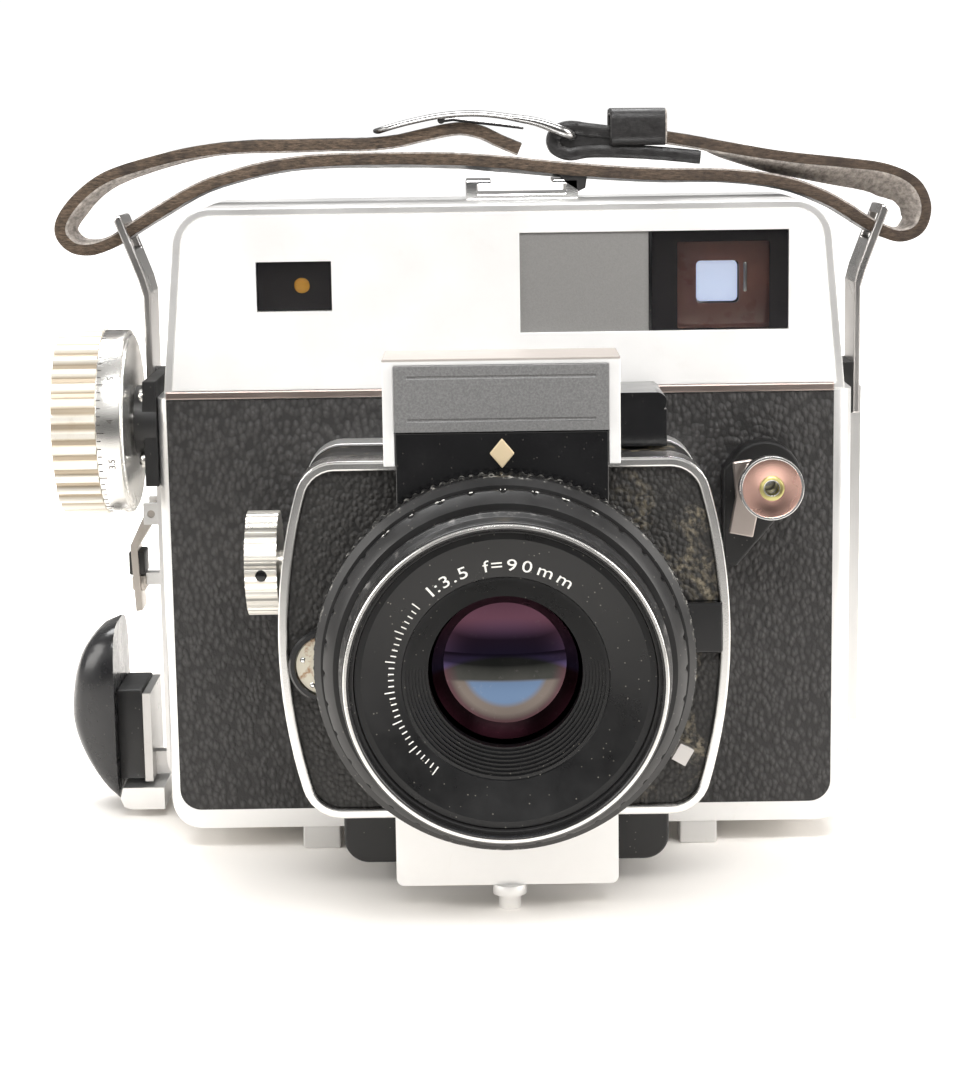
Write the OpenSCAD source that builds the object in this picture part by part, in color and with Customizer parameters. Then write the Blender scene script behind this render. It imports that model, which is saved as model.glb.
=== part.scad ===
// Medium-format press rangefinder camera with a focusing front standard, a side
// focus knob, a push-pull film advance handle and a carrying strap.
// X runs to the right seen from the front, the lens looks along -Y, Z is up.
// The origin is the mouth of the tripod socket, which is also table height.

/* [Body] */
// Width of the body casting
body_w = 144.6; // [143:0.2:146]
// Sideways offset of the body's middle from the lens axis
body_shift = 0.9; // [0:0.1:1.5]
// Height of the top of the camera above the table
total_h = 136.5; // [134:0.5:140]
// Height of the casting's underside above the table
base_z = 5.2; // [5:0.1:6]
// Height where the top cover sits on the casting
cover_z = 97.5; // [97.5:0.1:98]
// Distance of the body front ahead of the socket
front_y = 20; // [19.8:0.1:20.2]
// Distance of the casting's rear face behind the socket
cast_back = 12; // [11.5:0.1:12]
// Wall thickness of the castings
wall = 2; // [1.8:0.1:2.2]

/* [Lens] */
// Height of the lens axis above the table
axis_z = 51; // [50.5:0.1:51.5]
// Distance of the filter rim ahead of the socket
rim_y = 85; // [83:0.5:87]
// Radius of the filter thread
filter_r = 29; // [28:0.5:29]
// Outer radius of the knurled shutter speed ring
knurl_r = 36.8; // [36:0.1:37.5]
// Radius of the front lens element
glass_r = 14.1; // [13:0.1:15]

/* [Standard] */
// Half width of the standard at its widest
std_half = 44.3; // [43.8:0.1:44.5]
// Height of the standard's lower edge
std_bottom = 17.7; // [17.5:0.1:18]
// Height of the standard's upper edge
std_top = 89.2; // [88.8:0.1:89.2]
// Radius of the barrel-shaped sides
side_r = 110; // [100:1:130]
// Distance of the chrome rim's front ahead of the socket
std_front = 57; // [56.5:0.1:57]
// Width of the chrome rim
rim_w = 2; // [1.8:0.1:2.2]

/* [Focus knob] */
// Radius of the focus knob
knob_r = 19.5; // [18.5:0.1:19.5]
// Distance of the knob's outer face to the left of the lens axis
knob_x = 91.5; // [90:0.5:93]
// Height of the knob's axis
knob_z = 92; // [92:0.1:92.1]
// Number of grip ribs on the focus knob
knob_ribs = 36; // [30:1:40]

/* [Film back] */
// Width of the film back
back_w = 154; // [153:0.5:154]
// Distance of the film back's rear edge behind the socket
back_rear = 38; // [38:0.1:38.2]
// Frame width on the film
frame_w = 69; // [66:1:69]
// Frame height on the film
frame_h = 56; // [54:1:56]
// Travel of the film advance handle
handle_travel = 60; // [55:1:62]

/* [Strap] */
// Width of the strap
strap_w = 10; // [9:0.5:10]
// Thickness of the strap
strap_t = 2.2; // [1.8:0.1:2.3]

/* [Hidden] */
$fn = 72;

eps = 0.1;
run_gap = 0.06;                       // radial clearance of every shaft in its hole
body_x0 = body_shift - body_w / 2;
body_x1 = body_shift + body_w / 2;
back_x0 = body_shift - back_w / 2;
back_x1 = body_shift + back_w / 2;
leather_half = 69.2;
leather_z0 = 9.3;
leather_z1 = 97.2;
leather_t = 0.8;
std_corner = 8;
std_mid_z = (std_bottom + std_top) / 2;
opening_w = 71.4;                     // hole in the body front for the light tube
opening_h = 66.4;
opening_z = 52.5;
opening_r = 5;
rod_x = 39.6;                         // guide rods of the standard
rod_r = 1.5;
shaft_r = 3;                          // focus shaft
knob_y = -12;
focus_module = 0.5;
focus_teeth = 16;
focus_pitch_r = focus_module * focus_teeth / 2;
rack_x0 = 26;
rack_x1 = 31;
film_module = 1;
film_teeth = 16;
film_pitch_r = film_module * film_teeth / 2;
spool_x = 58;
spool_y = 26.4;
gate_y = 30;
button_x = 54.2;
button_z = 80;
lock_z = 65.5;
lock_y = -35;
plate_r = 8;                          // corner radius of the top cover
hinge_x = back_x1 + 2.3;
hinge_y = 40.5;
catch_x = back_x0 - 1.9;
catch_z = 67.5;
window_y0 = -19.6;
window_y1 = -18.4;
hub_r = 30;                           // bearing of the two lens rings
arm_x = -42;                          // pivot of the rangefinder arm
arm_y = -4;

// Box from its two corners
module block(x0, x1, y0, y1, z0, z1)
    translate([x0, y0, z0]) cube([x1 - x0, y1 - y0, z1 - z0]);

// Cylinders along the three axes, placed by their start
module rod_x(r, x0, x1) translate([x0, 0, 0]) rotate([0, 90, 0]) cylinder(r = r, h = x1 - x0);
module rod_y(r, y0, y1) translate([0, y0, 0]) rotate([-90, 0, 0]) cylinder(r = r, h = y1 - y0);
module rod_z(r, z0, z1) translate([0, 0, z0]) cylinder(r = r, h = z1 - z0);

// Extrudes a front view (x, z) from depth y0 to y1
module slab(y0, y1) translate([0, y1, 0]) rotate([90, 0, 0]) linear_extrude(y1 - y0) children();

// Extrudes a side view (y, z) from x0 to x1
module side_slab(x0, x1)
    translate([x0, 0, 0]) rotate([90, 0, 90]) linear_extrude(x1 - x0) children();

// Turns a profile (radius, distance ahead of the socket) round the lens axis
module turned() translate([0, 0, axis_z]) rotate([90, 0, 0]) rotate_extrude() children();

// Ring round the lens axis between two distances ahead of the socket
module lens_ring(r_out, r_in, d0, d1)
    turned() translate([r_in, d0]) square([r_out - r_in, d1 - d0]);

// Rounded rectangle in the middle, with true arcs
module round_rect(w, h, r) {
    square([w - 2 * r, h], center = true);
    square([w, h - 2 * r], center = true);
    for (x = [-1, 1], z = [-1, 1])
        translate([x * (w / 2 - r), z * (h / 2 - r)]) circle(r = r);
}

// Front view that is round at its two lower corners only
module low_round(x0, x1, z0, z1, r) {
    translate([x0 + r, z0]) square([x1 - x0 - 2 * r, z1 - z0]);
    translate([x0, z0 + r]) square([x1 - x0, z1 - z0 - r]);
    for (x = [x0 + r, x1 - r]) translate([x, z0 + r]) circle(r = r);
}

// Barrel-sided outline of the standard: a rectangle cut by two large arcs
module std_shape(inset = 0) {
    translate([0, std_mid_z])
    offset(r = std_corner - inset, $fn = 32) offset(delta = -std_corner)
    intersection() {
        square([2 * std_half, std_top - std_bottom], center = true);
        translate([side_r - std_half, 0]) circle(r = side_r, $fn = 180);
        translate([std_half - side_r, 0]) circle(r = side_r, $fn = 180);
    }
}

module tube_hole(grow = 0)
    translate([0, opening_z]) round_rect(opening_w + 2 * grow, opening_h + 2 * grow, opening_r);

// Gear outline with straight-flanked teeth; a gap lies at angle 0
module gear(m, n) {
    step = 360 / n;
    root = m * n / 2 - 1.1 * m;
    tip = m * n / 2 + 0.8 * m;
    polygon([for (i = [0 : n - 1], k = [0 : 3])
        let (a = (i + [0.27, 0.43, 0.57, 0.73][k]) * step, r = [root, tip, tip, root][k])
        [r * cos(a), r * sin(a)]]);
}

// Row of rack teeth along x, pitch line on y = 0, teeth pointing to -y; a tooth lies at x = 0
module rack_teeth(m, first, last) {
    pitch = PI * m;
    for (i = [first : last]) translate([i * pitch, 0])
        polygon([[-0.33 * pitch, 1.2 * m], [-0.10 * pitch, -0.8 * m],
                 [0.10 * pitch, -0.8 * m], [0.33 * pitch, 1.2 * m]]);
}

// Ribbed outline: small ridges round a circle
module ribbed(r, ribs, depth)
    polygon([for (i = [0 : 4 * ribs - 1])
        let (a = i * 90 / ribs, rr = r - (i % 4 > 1 ? depth : 0)) [rr * cos(a), rr * sin(a)]]);

// Smooth curve through hand-picked points, used for the strap
function spline(p, t) =
    let (n = len(p) - 1, i = min(floor(t), n - 1), u = t - i,
         a = p[max(i - 1, 0)], b = p[i], c = p[i + 1], d = p[min(i + 2, n)])
    0.5 * (2 * b + (c - a) * u + (2 * a - 5 * b + 4 * c - d) * u * u
        + (3 * b - a - 3 * c + d) * u * u * u);
function curve(p, k) = [for (i = [0 : (len(p) - 1) * k]) spline(p, i / k)];
function normal_at(c, i) =
    let (d = c[min(i + 1, len(c) - 1)] - c[max(i - 1, 0)]) [-d[1], d[0]] / norm(d);
module band(p, t, k) {
    c = curve(p, k);
    n = len(c) - 1;
    polygon(concat([for (i = [0 : n]) c[i] + normal_at(c, i) * t / 2],
                   [for (i = [n : -1 : 0]) c[i] - normal_at(c, i) * t / 2]));
}

// ---------------------------------------------------------------- fixed body

module body_casting() color("gainsboro") difference() {
    intersection() {
        slab(-front_y, cast_back) low_round(body_x0, body_x1, base_z, cover_z, 7);
        translate([0, 0, base_z]) linear_extrude(cover_z - base_z) union() {
            translate([body_x0 + 3.5, -front_y]) square([body_w - 7, 10]);
            translate([body_x0, -front_y + 3.5]) square([body_w, front_y + cast_back - 3.5]);
            for (x = [body_x0 + 3.5, body_x1 - 3.5]) translate([x, -front_y + 3.5]) circle(r = 3.5);
        }
    }
    block(body_x0 + wall, body_x1 - wall, -front_y + 2.5, cast_back + eps,
        base_z + 2.3, cover_z + eps);
    slab(-front_y - eps, -front_y + leather_t - 0.1)
        low_round(-leather_half, leather_half, leather_z0, leather_z1, 4.5);
    slab(-front_y - eps, -front_y + 3) tube_hole();
    for (s = [-1, 1]) translate([s * rod_x, 0, std_mid_z]) rod_y(rod_r + run_gap, -22, -15);
    translate([0, knob_y, knob_z]) rod_x(shaft_r + run_gap, body_x0 - 1, body_x0 + 3);
    translate([button_x, 0, button_z]) rod_y(3, -22, -15);
    block(rack_x0 - 1, rack_x1 + 1, -21, -17, 94.2, cover_z + eps);
    rod_z(9, 0, 9);
}

module front_leather() color([0.1, 0.1, 0.1]) difference() {
    slab(-front_y - 0.1, -front_y + leather_t - 0.1)
        low_round(-leather_half, leather_half, leather_z0, leather_z1, 4.5);
    slab(-22, -19) std_shape(0.5);
    translate([button_x, 0, button_z]) rod_y(3, -22, -19);
    block(rack_x0 - 1, rack_x1 + 1, -21, -17, 94.2, cover_z + eps);
}

module trim_band() color([0.62, 0.55, 0.5]) difference() {
    block(-leather_half, leather_half, -front_y - 0.6, -front_y, leather_z1 + 0.1, 98.9);
    block(rack_x0 - 1, rack_x1 + 1, -21, -17, 94.2, 100);
}

// Front view of the top cover: sides lean in, upper corners are round
module cover_outline(inset = 0)
    intersection() {
        offset(r = plate_r - inset, $fn = 48) offset(delta = -plate_r)
            translate([body_shift, 0])
            polygon([[-72.2, 80], [72.2, 80], [67, total_h], [-67, total_h]]);
        translate([-100, cover_z]) square([200, total_h]);
    }

module cover_windows() {
    translate([-49.8, 115.2]) square([15.5, 10.2]);
    translate([4.4, 110.1]) square([55.3, 20.5]);
}

module top_cover() color("silver") difference() {
    slab(-front_y, 24) cover_outline();
    slab(-front_y + 2, 22) translate([0, -eps]) cover_outline(2);
    slab(-front_y - eps, -front_y + 0.8) intersection() {
        cover_outline(1.7);
        translate([-100, 99]) square([200, 60]);
    }
    slab(-front_y - eps, -17) cover_windows();
    block(rack_x0 - 1, rack_x1 + 1, -21, -17, 94.2, 99.6);
    translate([45.5, 0, 120]) rod_y(8, 21, 25);
}

module front_plate() color("whitesmoke") difference() {
    slab(-front_y - 0.1, -front_y + 0.8) intersection() {
        cover_outline(1.7);
        translate([-100, 99]) square([200, 60]);
    }
    slab(-front_y - 1, -17) cover_windows();
    block(rack_x0 - 1, rack_x1 + 1, -21, -17, 94.2, 99.6);
}

module window_glasses() color([0.25, 0.16, 0.12, 0.6]) {
    block(-49.8, -34.3, window_y0, window_y1, 115.2, 125.4);
    block(31.3, 59.7, window_y0, window_y1, 110.1, 130.6);
    translate([0, 29, 0]) rod_z(2.6, cover_z - 0.9, cover_z - 0.1);
}

module frame_window() color([0.55, 0.55, 0.53])
    block(4.4, 31.2, window_y0, window_y1, 110.1, 130.6);

module finder_frame() color([0.12, 0.12, 0.12]) {
    difference() {
        block(-64, 64, -front_y + 2, 22, 100, 101.5);
        block(14, 25, -16, 4, 99, 102);
    }
    difference() {
        union() {
            block(31.6, 61, -front_y + 2, 22, 101.5, 132);
            translate([45.5, 0, 120]) rod_y(8, 21, 27);
        }
        block(32.8, 59.8, -front_y, 21, 109.5, 130.8);
        translate([45.5, 0, 120]) rod_y(6, 20, 28);
    }
    translate([arm_x, arm_y, 0]) rod_z(1.5, 101.5, 102.9);
}

module finder_optics() color([0.7, 0.75, 0.85, 0.5]) {
    intersection() {
        block(33, 59.6, -17.5, -12, 110, 130.6);
        translate([46.3, 38.5, 120.3]) sphere(r = 56, $fn = 96);
    }
    intersection() {
        translate([45.5, 0, 120]) rod_y(5.9, 21.2, 24.5);
        translate([45.5, 4.5, 120]) sphere(r = 20, $fn = 96);
    }
    translate([46.3, 2, 120.1]) rotate([0, 0, 45]) block(-9, 9, -0.5, 0.5, -10.5, 10.5);
}

module accessory_shoe() color("silver") translate([5.4, 0, 0]) {
    block(-12, 12, 2, 20, total_h, total_h + 1.2);
    for (s = [-1, 1]) {
        block(min(s * 9.4, s * 12), max(s * 9.4, s * 12), 2, 20, total_h + 1.2, total_h + 3.2);
        block(min(s * 6.6, s * 12), max(s * 6.6, s * 12), 2, 20, total_h + 3.2, total_h + 4.1);
    }
}

module focus_bracket() color([0.12, 0.12, 0.12]) difference() {
    union() {
        block(body_x0 - 2.8, body_x0, 1 - front_y, cast_back, 79, 101);
        translate([0, knob_y, knob_z]) rod_x(7.5, body_x0 - 4.9, body_x0);
        block(body_x1, body_x1 + 2.8, -1, cast_back, 90, 101);
    }
    translate([0, knob_y, knob_z]) rod_x(shaft_r + run_gap, body_x0 - 6, body_x0 + 1);
}

// Flat bar that leans outwards at its top, seen from the front
module lug_bar(t = 1.4)
    polygon([[0, 90], [t, 90], [t, 117], [t + 1, 120.5], [t + 5.8, 133.4], [t + 5.1, 134.4],
        [5.7, 134.3], [0.8, 121.2], [0, 118]]);
module strap_lugs() color("silver") for (m = [0, 1])
    translate([body_shift, 0, 0]) mirror([m, 0, 0]) difference() {
        slab(-1, 13) translate([body_w / 2 + 2.8, 0]) lug_bar();
        block(body_w / 2 + 3, body_w / 2 + 13, 0.7, 11.3, 127, 132.4);
        block(body_w / 2, body_w / 2 + 9, cast_back, 14, 80, cover_z + eps);
    }

module front_collar() color("dimgray") difference() {
    slab(-28, -front_y + leather_t - 0.1) std_shape(0.5);
    slab(-29, -18) tube_hole();
    for (s = [-1, 1]) translate([s * rod_x, 0, std_mid_z]) rod_y(rod_r + run_gap, -29, -18);
}

module focus_bed() color([0.08, 0.08, 0.08])
    slab(-45, -front_y - 0.1) low_round(-33, 33, 4.8, 17.2, 5);

module feet() color("silver") {
    for (x = [-39.4, 41.2]) block(x - 4, x + 4, -19, -12, 0, base_z);
    for (x = [-52, 54]) block(x - 6, x + 6, 26, 36, 0, base_z);
}

module tripod_boss() color("silver") difference() {
    rod_z(9, 0, 10);
    rod_z(3, -eps, 8);
}

module light_box() color([0.06, 0.06, 0.06]) difference() {
    slab(-front_y + 2.5, cast_back) tube_hole(1.7);
    slab(-front_y, cast_back + 1) tube_hole(0.5);
}

module release_housing() color([0.08, 0.08, 0.08]) difference() {
    union() {
        translate([button_x, 0, button_z]) rod_y(7.6, -26, -front_y - 0.1);
        slab(-26, -front_y - 0.1)
            polygon([[45.8, 62], [48.5, 61.5], [60.5, 75.8], [50, 86.3], [45.8, 82]]);
    }
    translate([button_x, 0, button_z]) rod_y(2.4 + run_gap, -27, -19);
}

module film_back_shell() color("gainsboro") {
    difference() {
        slab(cast_back, back_rear) low_round(back_x0, back_x1, base_z, cover_z, 7);
        slab(cast_back + 1.6, back_rear + eps)
            low_round(back_x0 + wall, back_x1 - wall, base_z + 2.2, cover_z - wall, 5);
        slab(cast_back - eps, cast_back + 2) translate([0, axis_z + 0.5]) round_rect(73, 62, 3);
        block(back_x0 - eps, back_x0 + 8, 14, 20, 7.5, 13.8);
        translate([0, 29, 0]) rod_z(2.6, cover_z - 3, cover_z + 1);
    }
    translate([0, 22, 0]) rod_z(1, 91.6, cover_z - wall + eps);
    block(back_x0 - 4.2, back_x0, 19.5, 22.5, 50.6, 53.4);
}

module film_gate() color([0.1, 0.1, 0.1]) {
    difference() {
        union() {
            block(-41, 41, gate_y - 1.4, gate_y, 14, 88);
            slab(cast_back + 1.6, gate_y - 1) translate([0, axis_z]) round_rect(77, 64, 3);
        }
        slab(cast_back, gate_y - 1.4) translate([0, axis_z]) round_rect(74.6, 61.6, 2);
        slab(cast_back, gate_y + 1) translate([0, axis_z]) square([frame_w, frame_h], center = true);
    }
    for (x = [-43.4, 43.4]) translate([x, gate_y - 2.4, 0]) rod_z(1.8, base_z + 2.2, cover_z - wall);
    for (x = [-spool_x, spool_x]) translate([x, spool_y, 0]) rod_z(2, 80, cover_z - wall);
    translate([spool_x, spool_y, 0]) rod_z(2, base_z + 2.2, 23);
}

// Hinge of the rear cover, ears of the catch, shelf under the handle, side rail
module back_trim() color("silver") {
    knuckles = [[10, 19.6], [40.4, 61.6], [82.4, 92]];
    for (k = knuckles) {
        block(back_x1, back_x1 + 1.6, 30, hinge_y, k[0], k[1]);
        translate([hinge_x, hinge_y, 0]) rod_z(2.2, k[0], k[1]);
    }
    translate([hinge_x, hinge_y, 0]) rod_z(1, 10, 92);
    block(back_x1, back_x1 + 2.2, 15, 23, 18, 94);
    for (y = [15.2, 25.2]) difference() {
        block(back_x0 - 3.6, back_x0, y, y + 1.6, catch_z - 2.4, catch_z + 2.4);
        translate([catch_x, 0, catch_z]) rod_y(0.8 + run_gap, y - 1, y + 3);
    }
    slab(6, 30) translate([-9.9 + back_x0, 0])
        polygon([[0, 4.5], [0.8, 2.6], [2.5, 2], [9.9, 2], [9.9, 7], [0.6, 7]]);
}

// ---------------------------------------------------------------- strap

// Route of the strap's middle line (x, z), from its tab under the keeper, round the
// buckle bar, out through the right lug, across the top, through the left lug and back
strap_route = [
    [43.4, 144.8], [36, 145.6], [28, 146.2], [20, 146.4], [15.5, 145.9], [12.6, 147.2],
    [12.6, 149.9], [15.5, 151.4], [20, 150.9], [28, 149.9], [34, 149.3], [40.5, 148.3],
    [49.5, 146.6], [61.5, 144.6], [74, 143.2], [83, 141.9], [89, 138.8], [91.4, 134],
    [90.2, 129.4], [86.4, 127.7], [82.4, 128.8], [79, 130.6], [71, 135.6], [61.5, 139.3],
    [49.5, 141], [32, 141.6], [16.5, 142.8], [8.5, 143.7], [0.5, 144.6], [-11, 145.4],
    [-25.5, 145.6], [-37.5, 145.4], [-47, 144.4], [-56.5, 142.2], [-64, 139.5],
    [-72.4, 134.8], [-78, 131.4], [-81.6, 129.1], [-86.4, 127.4], [-90.4, 127.8],
    [-92.9, 130.5], [-92.3, 134], [-88.4, 138.6], [-82.5, 142.5], [-73, 145.4],
    [-63.5, 147.4], [-54, 148.3], [-44.5, 148.4], [-35, 148.5], [-27, 148.5],
    [-20.8, 149.1], [-14.8, 150.4], [-8, 151.5], [-3.2, 150.7], [1.2, 148.6], [5, 147]];
strap_y0 = 6 - strap_w / 2;

module strap() color([0.35, 0.25, 0.17])
    slab(strap_y0, strap_y0 + strap_w) band(strap_route, strap_t, 3);

module strap_buckle() color("silver") {
    difference() {
        slab(-1.5, 13.5) band([[-25.6, 151.3], [-18.7, 153], [-10.9, 154.4], [-3.1, 154.6],
            [4.7, 153.6], [10, 152.6]], 1, 4);
        block(-22, 7, 0.6, 11.4, 148, 157);
    }
    for (y = [-1.5, 12]) block(9.4, 17.2, y, y + 1.5, 147.6, 152.9);
    translate([16, 0, 148.6]) rod_y(0.9, -1.5, 13.5);
    translate([-16, 0, 148.2]) intersection() {
        translate([0, 0, 5]) rod_y(1, -1.5, 13.5);
        block(-2, 2, -2, 14, 3, 7);
    }
}

module strap_keeper() color([0.09, 0.09, 0.09]) difference() {
    block(24.2, 36.2, -0.8, 12.8, 147.5, 155.3);
    block(23, 38, 0.6, 11.4, 147.4, 152.6);
}

// ---------------------------------------------------------------- standard

module standard_housing() color([0.13, 0.13, 0.13]) difference() {
    union() {
        slab(-std_front + 2, -48) std_shape(rim_w);
        slab(-48, -32) std_shape(0.6);
    }
    slab(-std_front + 5, -31) std_shape(2.6);
    translate([0, 0, axis_z]) rod_y(22, -60, -50);
    translate([-std_half - 1, lock_y, lock_z]) rod_x(2.5 + run_gap, 0, 6);
}

module standard_rim() color("white") difference() {
    slab(-std_front, -48) std_shape(0);
    slab(-std_front - 1, -47) std_shape(rim_w);
}

module standard_leather() color([0.1, 0.1, 0.1]) difference() {
    slab(-std_front + 1.2, -std_front + 2) std_shape(rim_w + 0.1);
    translate([0, 0, axis_z]) rod_y(34.05, -60, -50);
    block(-20.5, 20.5, -60, -50, 60, 100);
    block(20, std_half, -60, -50, 50.4, 60.6);
    block(-22, 22, -60, -50, 10, 24.1);
}

module name_hood() color("whitesmoke") {
    difference() {
        block(-22.7, 22.7, -62, -46, 88.8, 109.4);
        block(-20.5, 20.5, -63, -60.5, 88, 108.1);
        block(-21.4, 21.4, -60.5, -47.3, 88, 108.1);
        block(-30, 30, -58, -45, 80, std_top);
    }
}

module name_plate() color("gray") difference() {
    block(-20.5, 20.5, -62.7, -60.5, 95.4, 108.1);
    block(-18, 18, -63, -62.5, 97.4, 97.9);
    block(-18, 18, -63, -62.5, 105.6, 106.1);
}

module focus_rack() color([0.08, 0.08, 0.08]) {
    block(23.5, 33, -42, -23, std_top, 96.6);
    block(23.5, 31, -42, -23, 96.6, 100);
    translate([31, 0, 98]) rod_y(2, -42, -23);
    pitch_z = knob_z + focus_pitch_r;
    block(rack_x0, rack_x1, -23, -0.6, pitch_z + 1.2 * focus_module - 0.05, 98.8);
    side_slab(rack_x0, rack_x1) translate([knob_y, pitch_z])
        rack_teeth(focus_module, -5, 6);
}

module light_tube() color([0.06, 0.06, 0.06]) {
    difference() {
        union() {
            slab(-32, -30.6) std_shape(0.6);
            slab(-32, -10) tube_hole(-0.7);
        }
        slab(-33, -9) tube_hole(-1.9);
    }
    for (s = [-1, 1]) translate([s * rod_x, 0, std_mid_z]) rod_y(rod_r, -31, -4);
}

module shutter_housing() color([0.1, 0.1, 0.1]) difference() {
    union() {
        lens_ring(34, 22, 55, 57.8);
        slab(-57.8, -55) translate([20, 50.5]) square([22.6, 10]);
        slab(-62.2, -55) translate([-20.4, 60]) square([40.8, 35.3]);
        lens_ring(27, 22, 57, 62);
        lens_ring(20, 18.5, 44, 55.5);
        lens_ring(24, 18.5, 55, 57);
    }
    lens_ring(24, 0, 57, 63);
    lens_ring(18.5, 0, 40, 60);
    lens_ring(31.5, 27, 57.8, 70);
    lens_ring(31.5, 20, 61.9, 70);
    block(-21, 21, -std_front - 0.05, -54, std_top - rim_w - 0.1, 96);
    block(-21, 21, -std_front - 0.05, -54, 16, std_bottom + rim_w + 0.1);
    block(std_half - rim_w - 0.5, std_half, -std_front - 0.05, -54, 50, 61);
}

module lens_barrel() color([0.1, 0.1, 0.1]) difference() {
    union() {
        lens_ring(23.9, 21, 57.8, 62);
        lens_ring(hub_r, 21, 62, 75.4);
        turned() polygon([[25, 75.4], [31.4, 75.4], [31.4, 77.5], [30.6, 78.4], [30.6, 83],
            [28.4, 83], [28.4, 81.2], [25, 81.2]]);
    }
    lens_ring(21, 0, 56, 78);
}

module filter_rim() color("silver") turned()
    polygon([[filter_r, 83], [30.6, 83], [30.6, 84.4], [30.1, rim_y], [filter_r + 0.3, rim_y],
        [filter_r, rim_y - 0.4]]);

// Name ring, then a stepped funnel of baffle grooves down to the front element
module front_trim_ring() color([0.08, 0.08, 0.08]) turned() {
    steps = 8;
    run = (19.4 - glass_r - 0.6) / steps;
    drop = 6.5 / steps;
    back = [[28.2, 81.2], [28.2, 81.9]];
    groove = [for (i = [0 : steps - 1], k = [0, 1]) [19.4 - run * (i + k), 79.6 - drop * i]];
    polygon(concat([[25, 81.2]], back, [[27, 81.9], [19.6, 79.9]], groove,
        [[glass_r + 0.6, 71.5], [21, 71.5], [21, 75.6], [25, 75.6]]));
}

module front_element() color([0.35, 0.25, 0.5, 0.7]) intersection() {
    lens_ring(glass_r + 0.55, 0, 66, 75);
    translate([0, -41, axis_z]) sphere(r = 33, $fn = 120);
}

module rear_element() color([0.5, 0.45, 0.6, 0.7]) intersection() {
    lens_ring(18.45, 0, 45, 54);
    translate([0, -82, axis_z]) sphere(r = 37, $fn = 120);
}

// The closed leaves of shutter and iris, each drawn as one flat ring
module shutter_blades() color("dimgray") lens_ring(23.9, 8, 57.1, 57.7);

module iris_blades() color([0.2, 0.2, 0.2]) turned() translate([10, 59.2]) square([10.9, 0.6]);

module index_badge() color("gold") slab(-62.9, -62.2)
    translate([0, 91.2]) polygon([[-2.4, 0], [0, 2.9], [2.4, 0], [0, -2.9]]);

module lower_bracket() color("silver") {
    difference() {
        slab(-61, -57.5) translate([0, 14.5]) round_rect(43.8, 19, 1.5);
        translate([0, 0, axis_z]) rod_y(34.1, -62, -57);
    }
    difference() {
        slab(-57.5, -55) translate([-21.9, 12]) square([43.8, 12]);
        translate([0, 0, axis_z]) rod_y(34.1, -62, -50);
        slab(-57, -54) translate([-30, 10]) square([60, std_bottom + rim_w - 9.7]);
    }
    translate([0.4, -59.4, 0]) {
        rod_z(3.4, 3, 5);
        rod_z(2.2, 0, 3);
    }
}

module sync_socket() color([0.75, 0.7, 0.6]) translate([-34.9, 0, 49.3]) difference() {
    union() {
        rod_y(6.4, -58.8, -57.8);
        rod_y(3, -60.4, -58.8);
    }
    rod_y(1.6, -61, -58.2);
}

// ---------------------------------------------------------------- moving controls

module focus_knob() color([0.85, 0.83, 0.76]) translate([0, knob_y, knob_z]) {
    difference() {
        translate([-knob_x, 0, 0]) rotate([0, 90, 0])
            linear_extrude(knob_x - 82.4) ribbed(knob_r, knob_ribs, 0.8);
        rod_x(15.5, -knob_x - 1, -knob_x + 1.2);
        rod_x(shaft_r, -knob_x + 2, -80);
    }
}

module focus_scale() color("silver") translate([0, knob_y, knob_z]) difference() {
    union() {
        rod_x(19.2, -82.4, -77.4);
        rod_x(18.2, -77.4, -76.8);
    }
    rod_x(shaft_r, -83, -76);
}

module focus_shaft() color("silver") translate([0, knob_y, knob_z]) {
    rod_x(shaft_r, -knob_x + 2, rack_x0 - 1);
    rod_x(focus_pitch_r - 1.1 * focus_module, rack_x0 - 1, rack_x1);
    translate([rack_x0 + 0.4, 0, 0]) rotate([0, 90, 0]) rotate([0, 0, 180])
        linear_extrude(rack_x1 - rack_x0 - 0.4) gear(focus_module, focus_teeth);
}

module speed_ring() color([0.09, 0.09, 0.09]) difference() {
    union() {
        translate([0, -62.6, axis_z]) rotate([90, 0, 0])
            linear_extrude(4.6) ribbed(knurl_r, 120, 0.45);
        turned() polygon([[20, 67.2], [36.6, 67.2], [36.6, 68.6], [35.2, 70], [20, 70]]);
    }
    lens_ring(hub_r + run_gap, 0, 60, 71);
}

module aperture_ring() color([0.09, 0.09, 0.09]) difference() {
    turned() polygon([[20, 70.3], [34.6, 70.3], [34.6, 72.6], [32.6, 75.1], [20, 75.1]]);
    lens_ring(hub_r + run_gap, 0, 60, 76);
    for (i = [0 : 35]) translate([0, 0, axis_z]) rotate([0, i * 10, 0])
        translate([0, 0, 35.1]) rod_y(0.9, -76, -70);
}

module sync_lever() color("silver") difference() {
    union() {
        lens_ring(28.2, 20, 58.4, 59.6);
        translate([0, 0, axis_z]) rotate([0, 30, 0]) block(26, 41.4, -59.6, -58.4, -1.8, 1.8);
        translate([0, 0, axis_z]) rotate([0, 30, 0]) block(38.4, 41.4, -61.6, -59.6, -1.8, 1.8);
    }
    lens_ring(27 + run_gap, 0, 57, 61);
}

module lock_knob() color("silver") translate([0, lock_y, lock_z]) difference() {
    union() {
        translate([-51.6, 0, 0]) rotate([0, 90, 0]) linear_extrude(6.4) ribbed(10.6, 40, 0.35);
        rod_x(2.5, -45.3, -41);
    }
    translate([-48.3, 0, -0.8]) rod_y(1.2, -12, -8);
}

module release_button() color([0.8, 0.6, 0.5]) translate([button_x, 0, button_z]) difference() {
    union() {
        rod_y(6.5, -40, -36.5);
        rod_y(2.4, -36.6, -21.5);
    }
    rod_y(5.9, -41, -39.7);
    rod_y(1.5, -41, -34);
}

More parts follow.
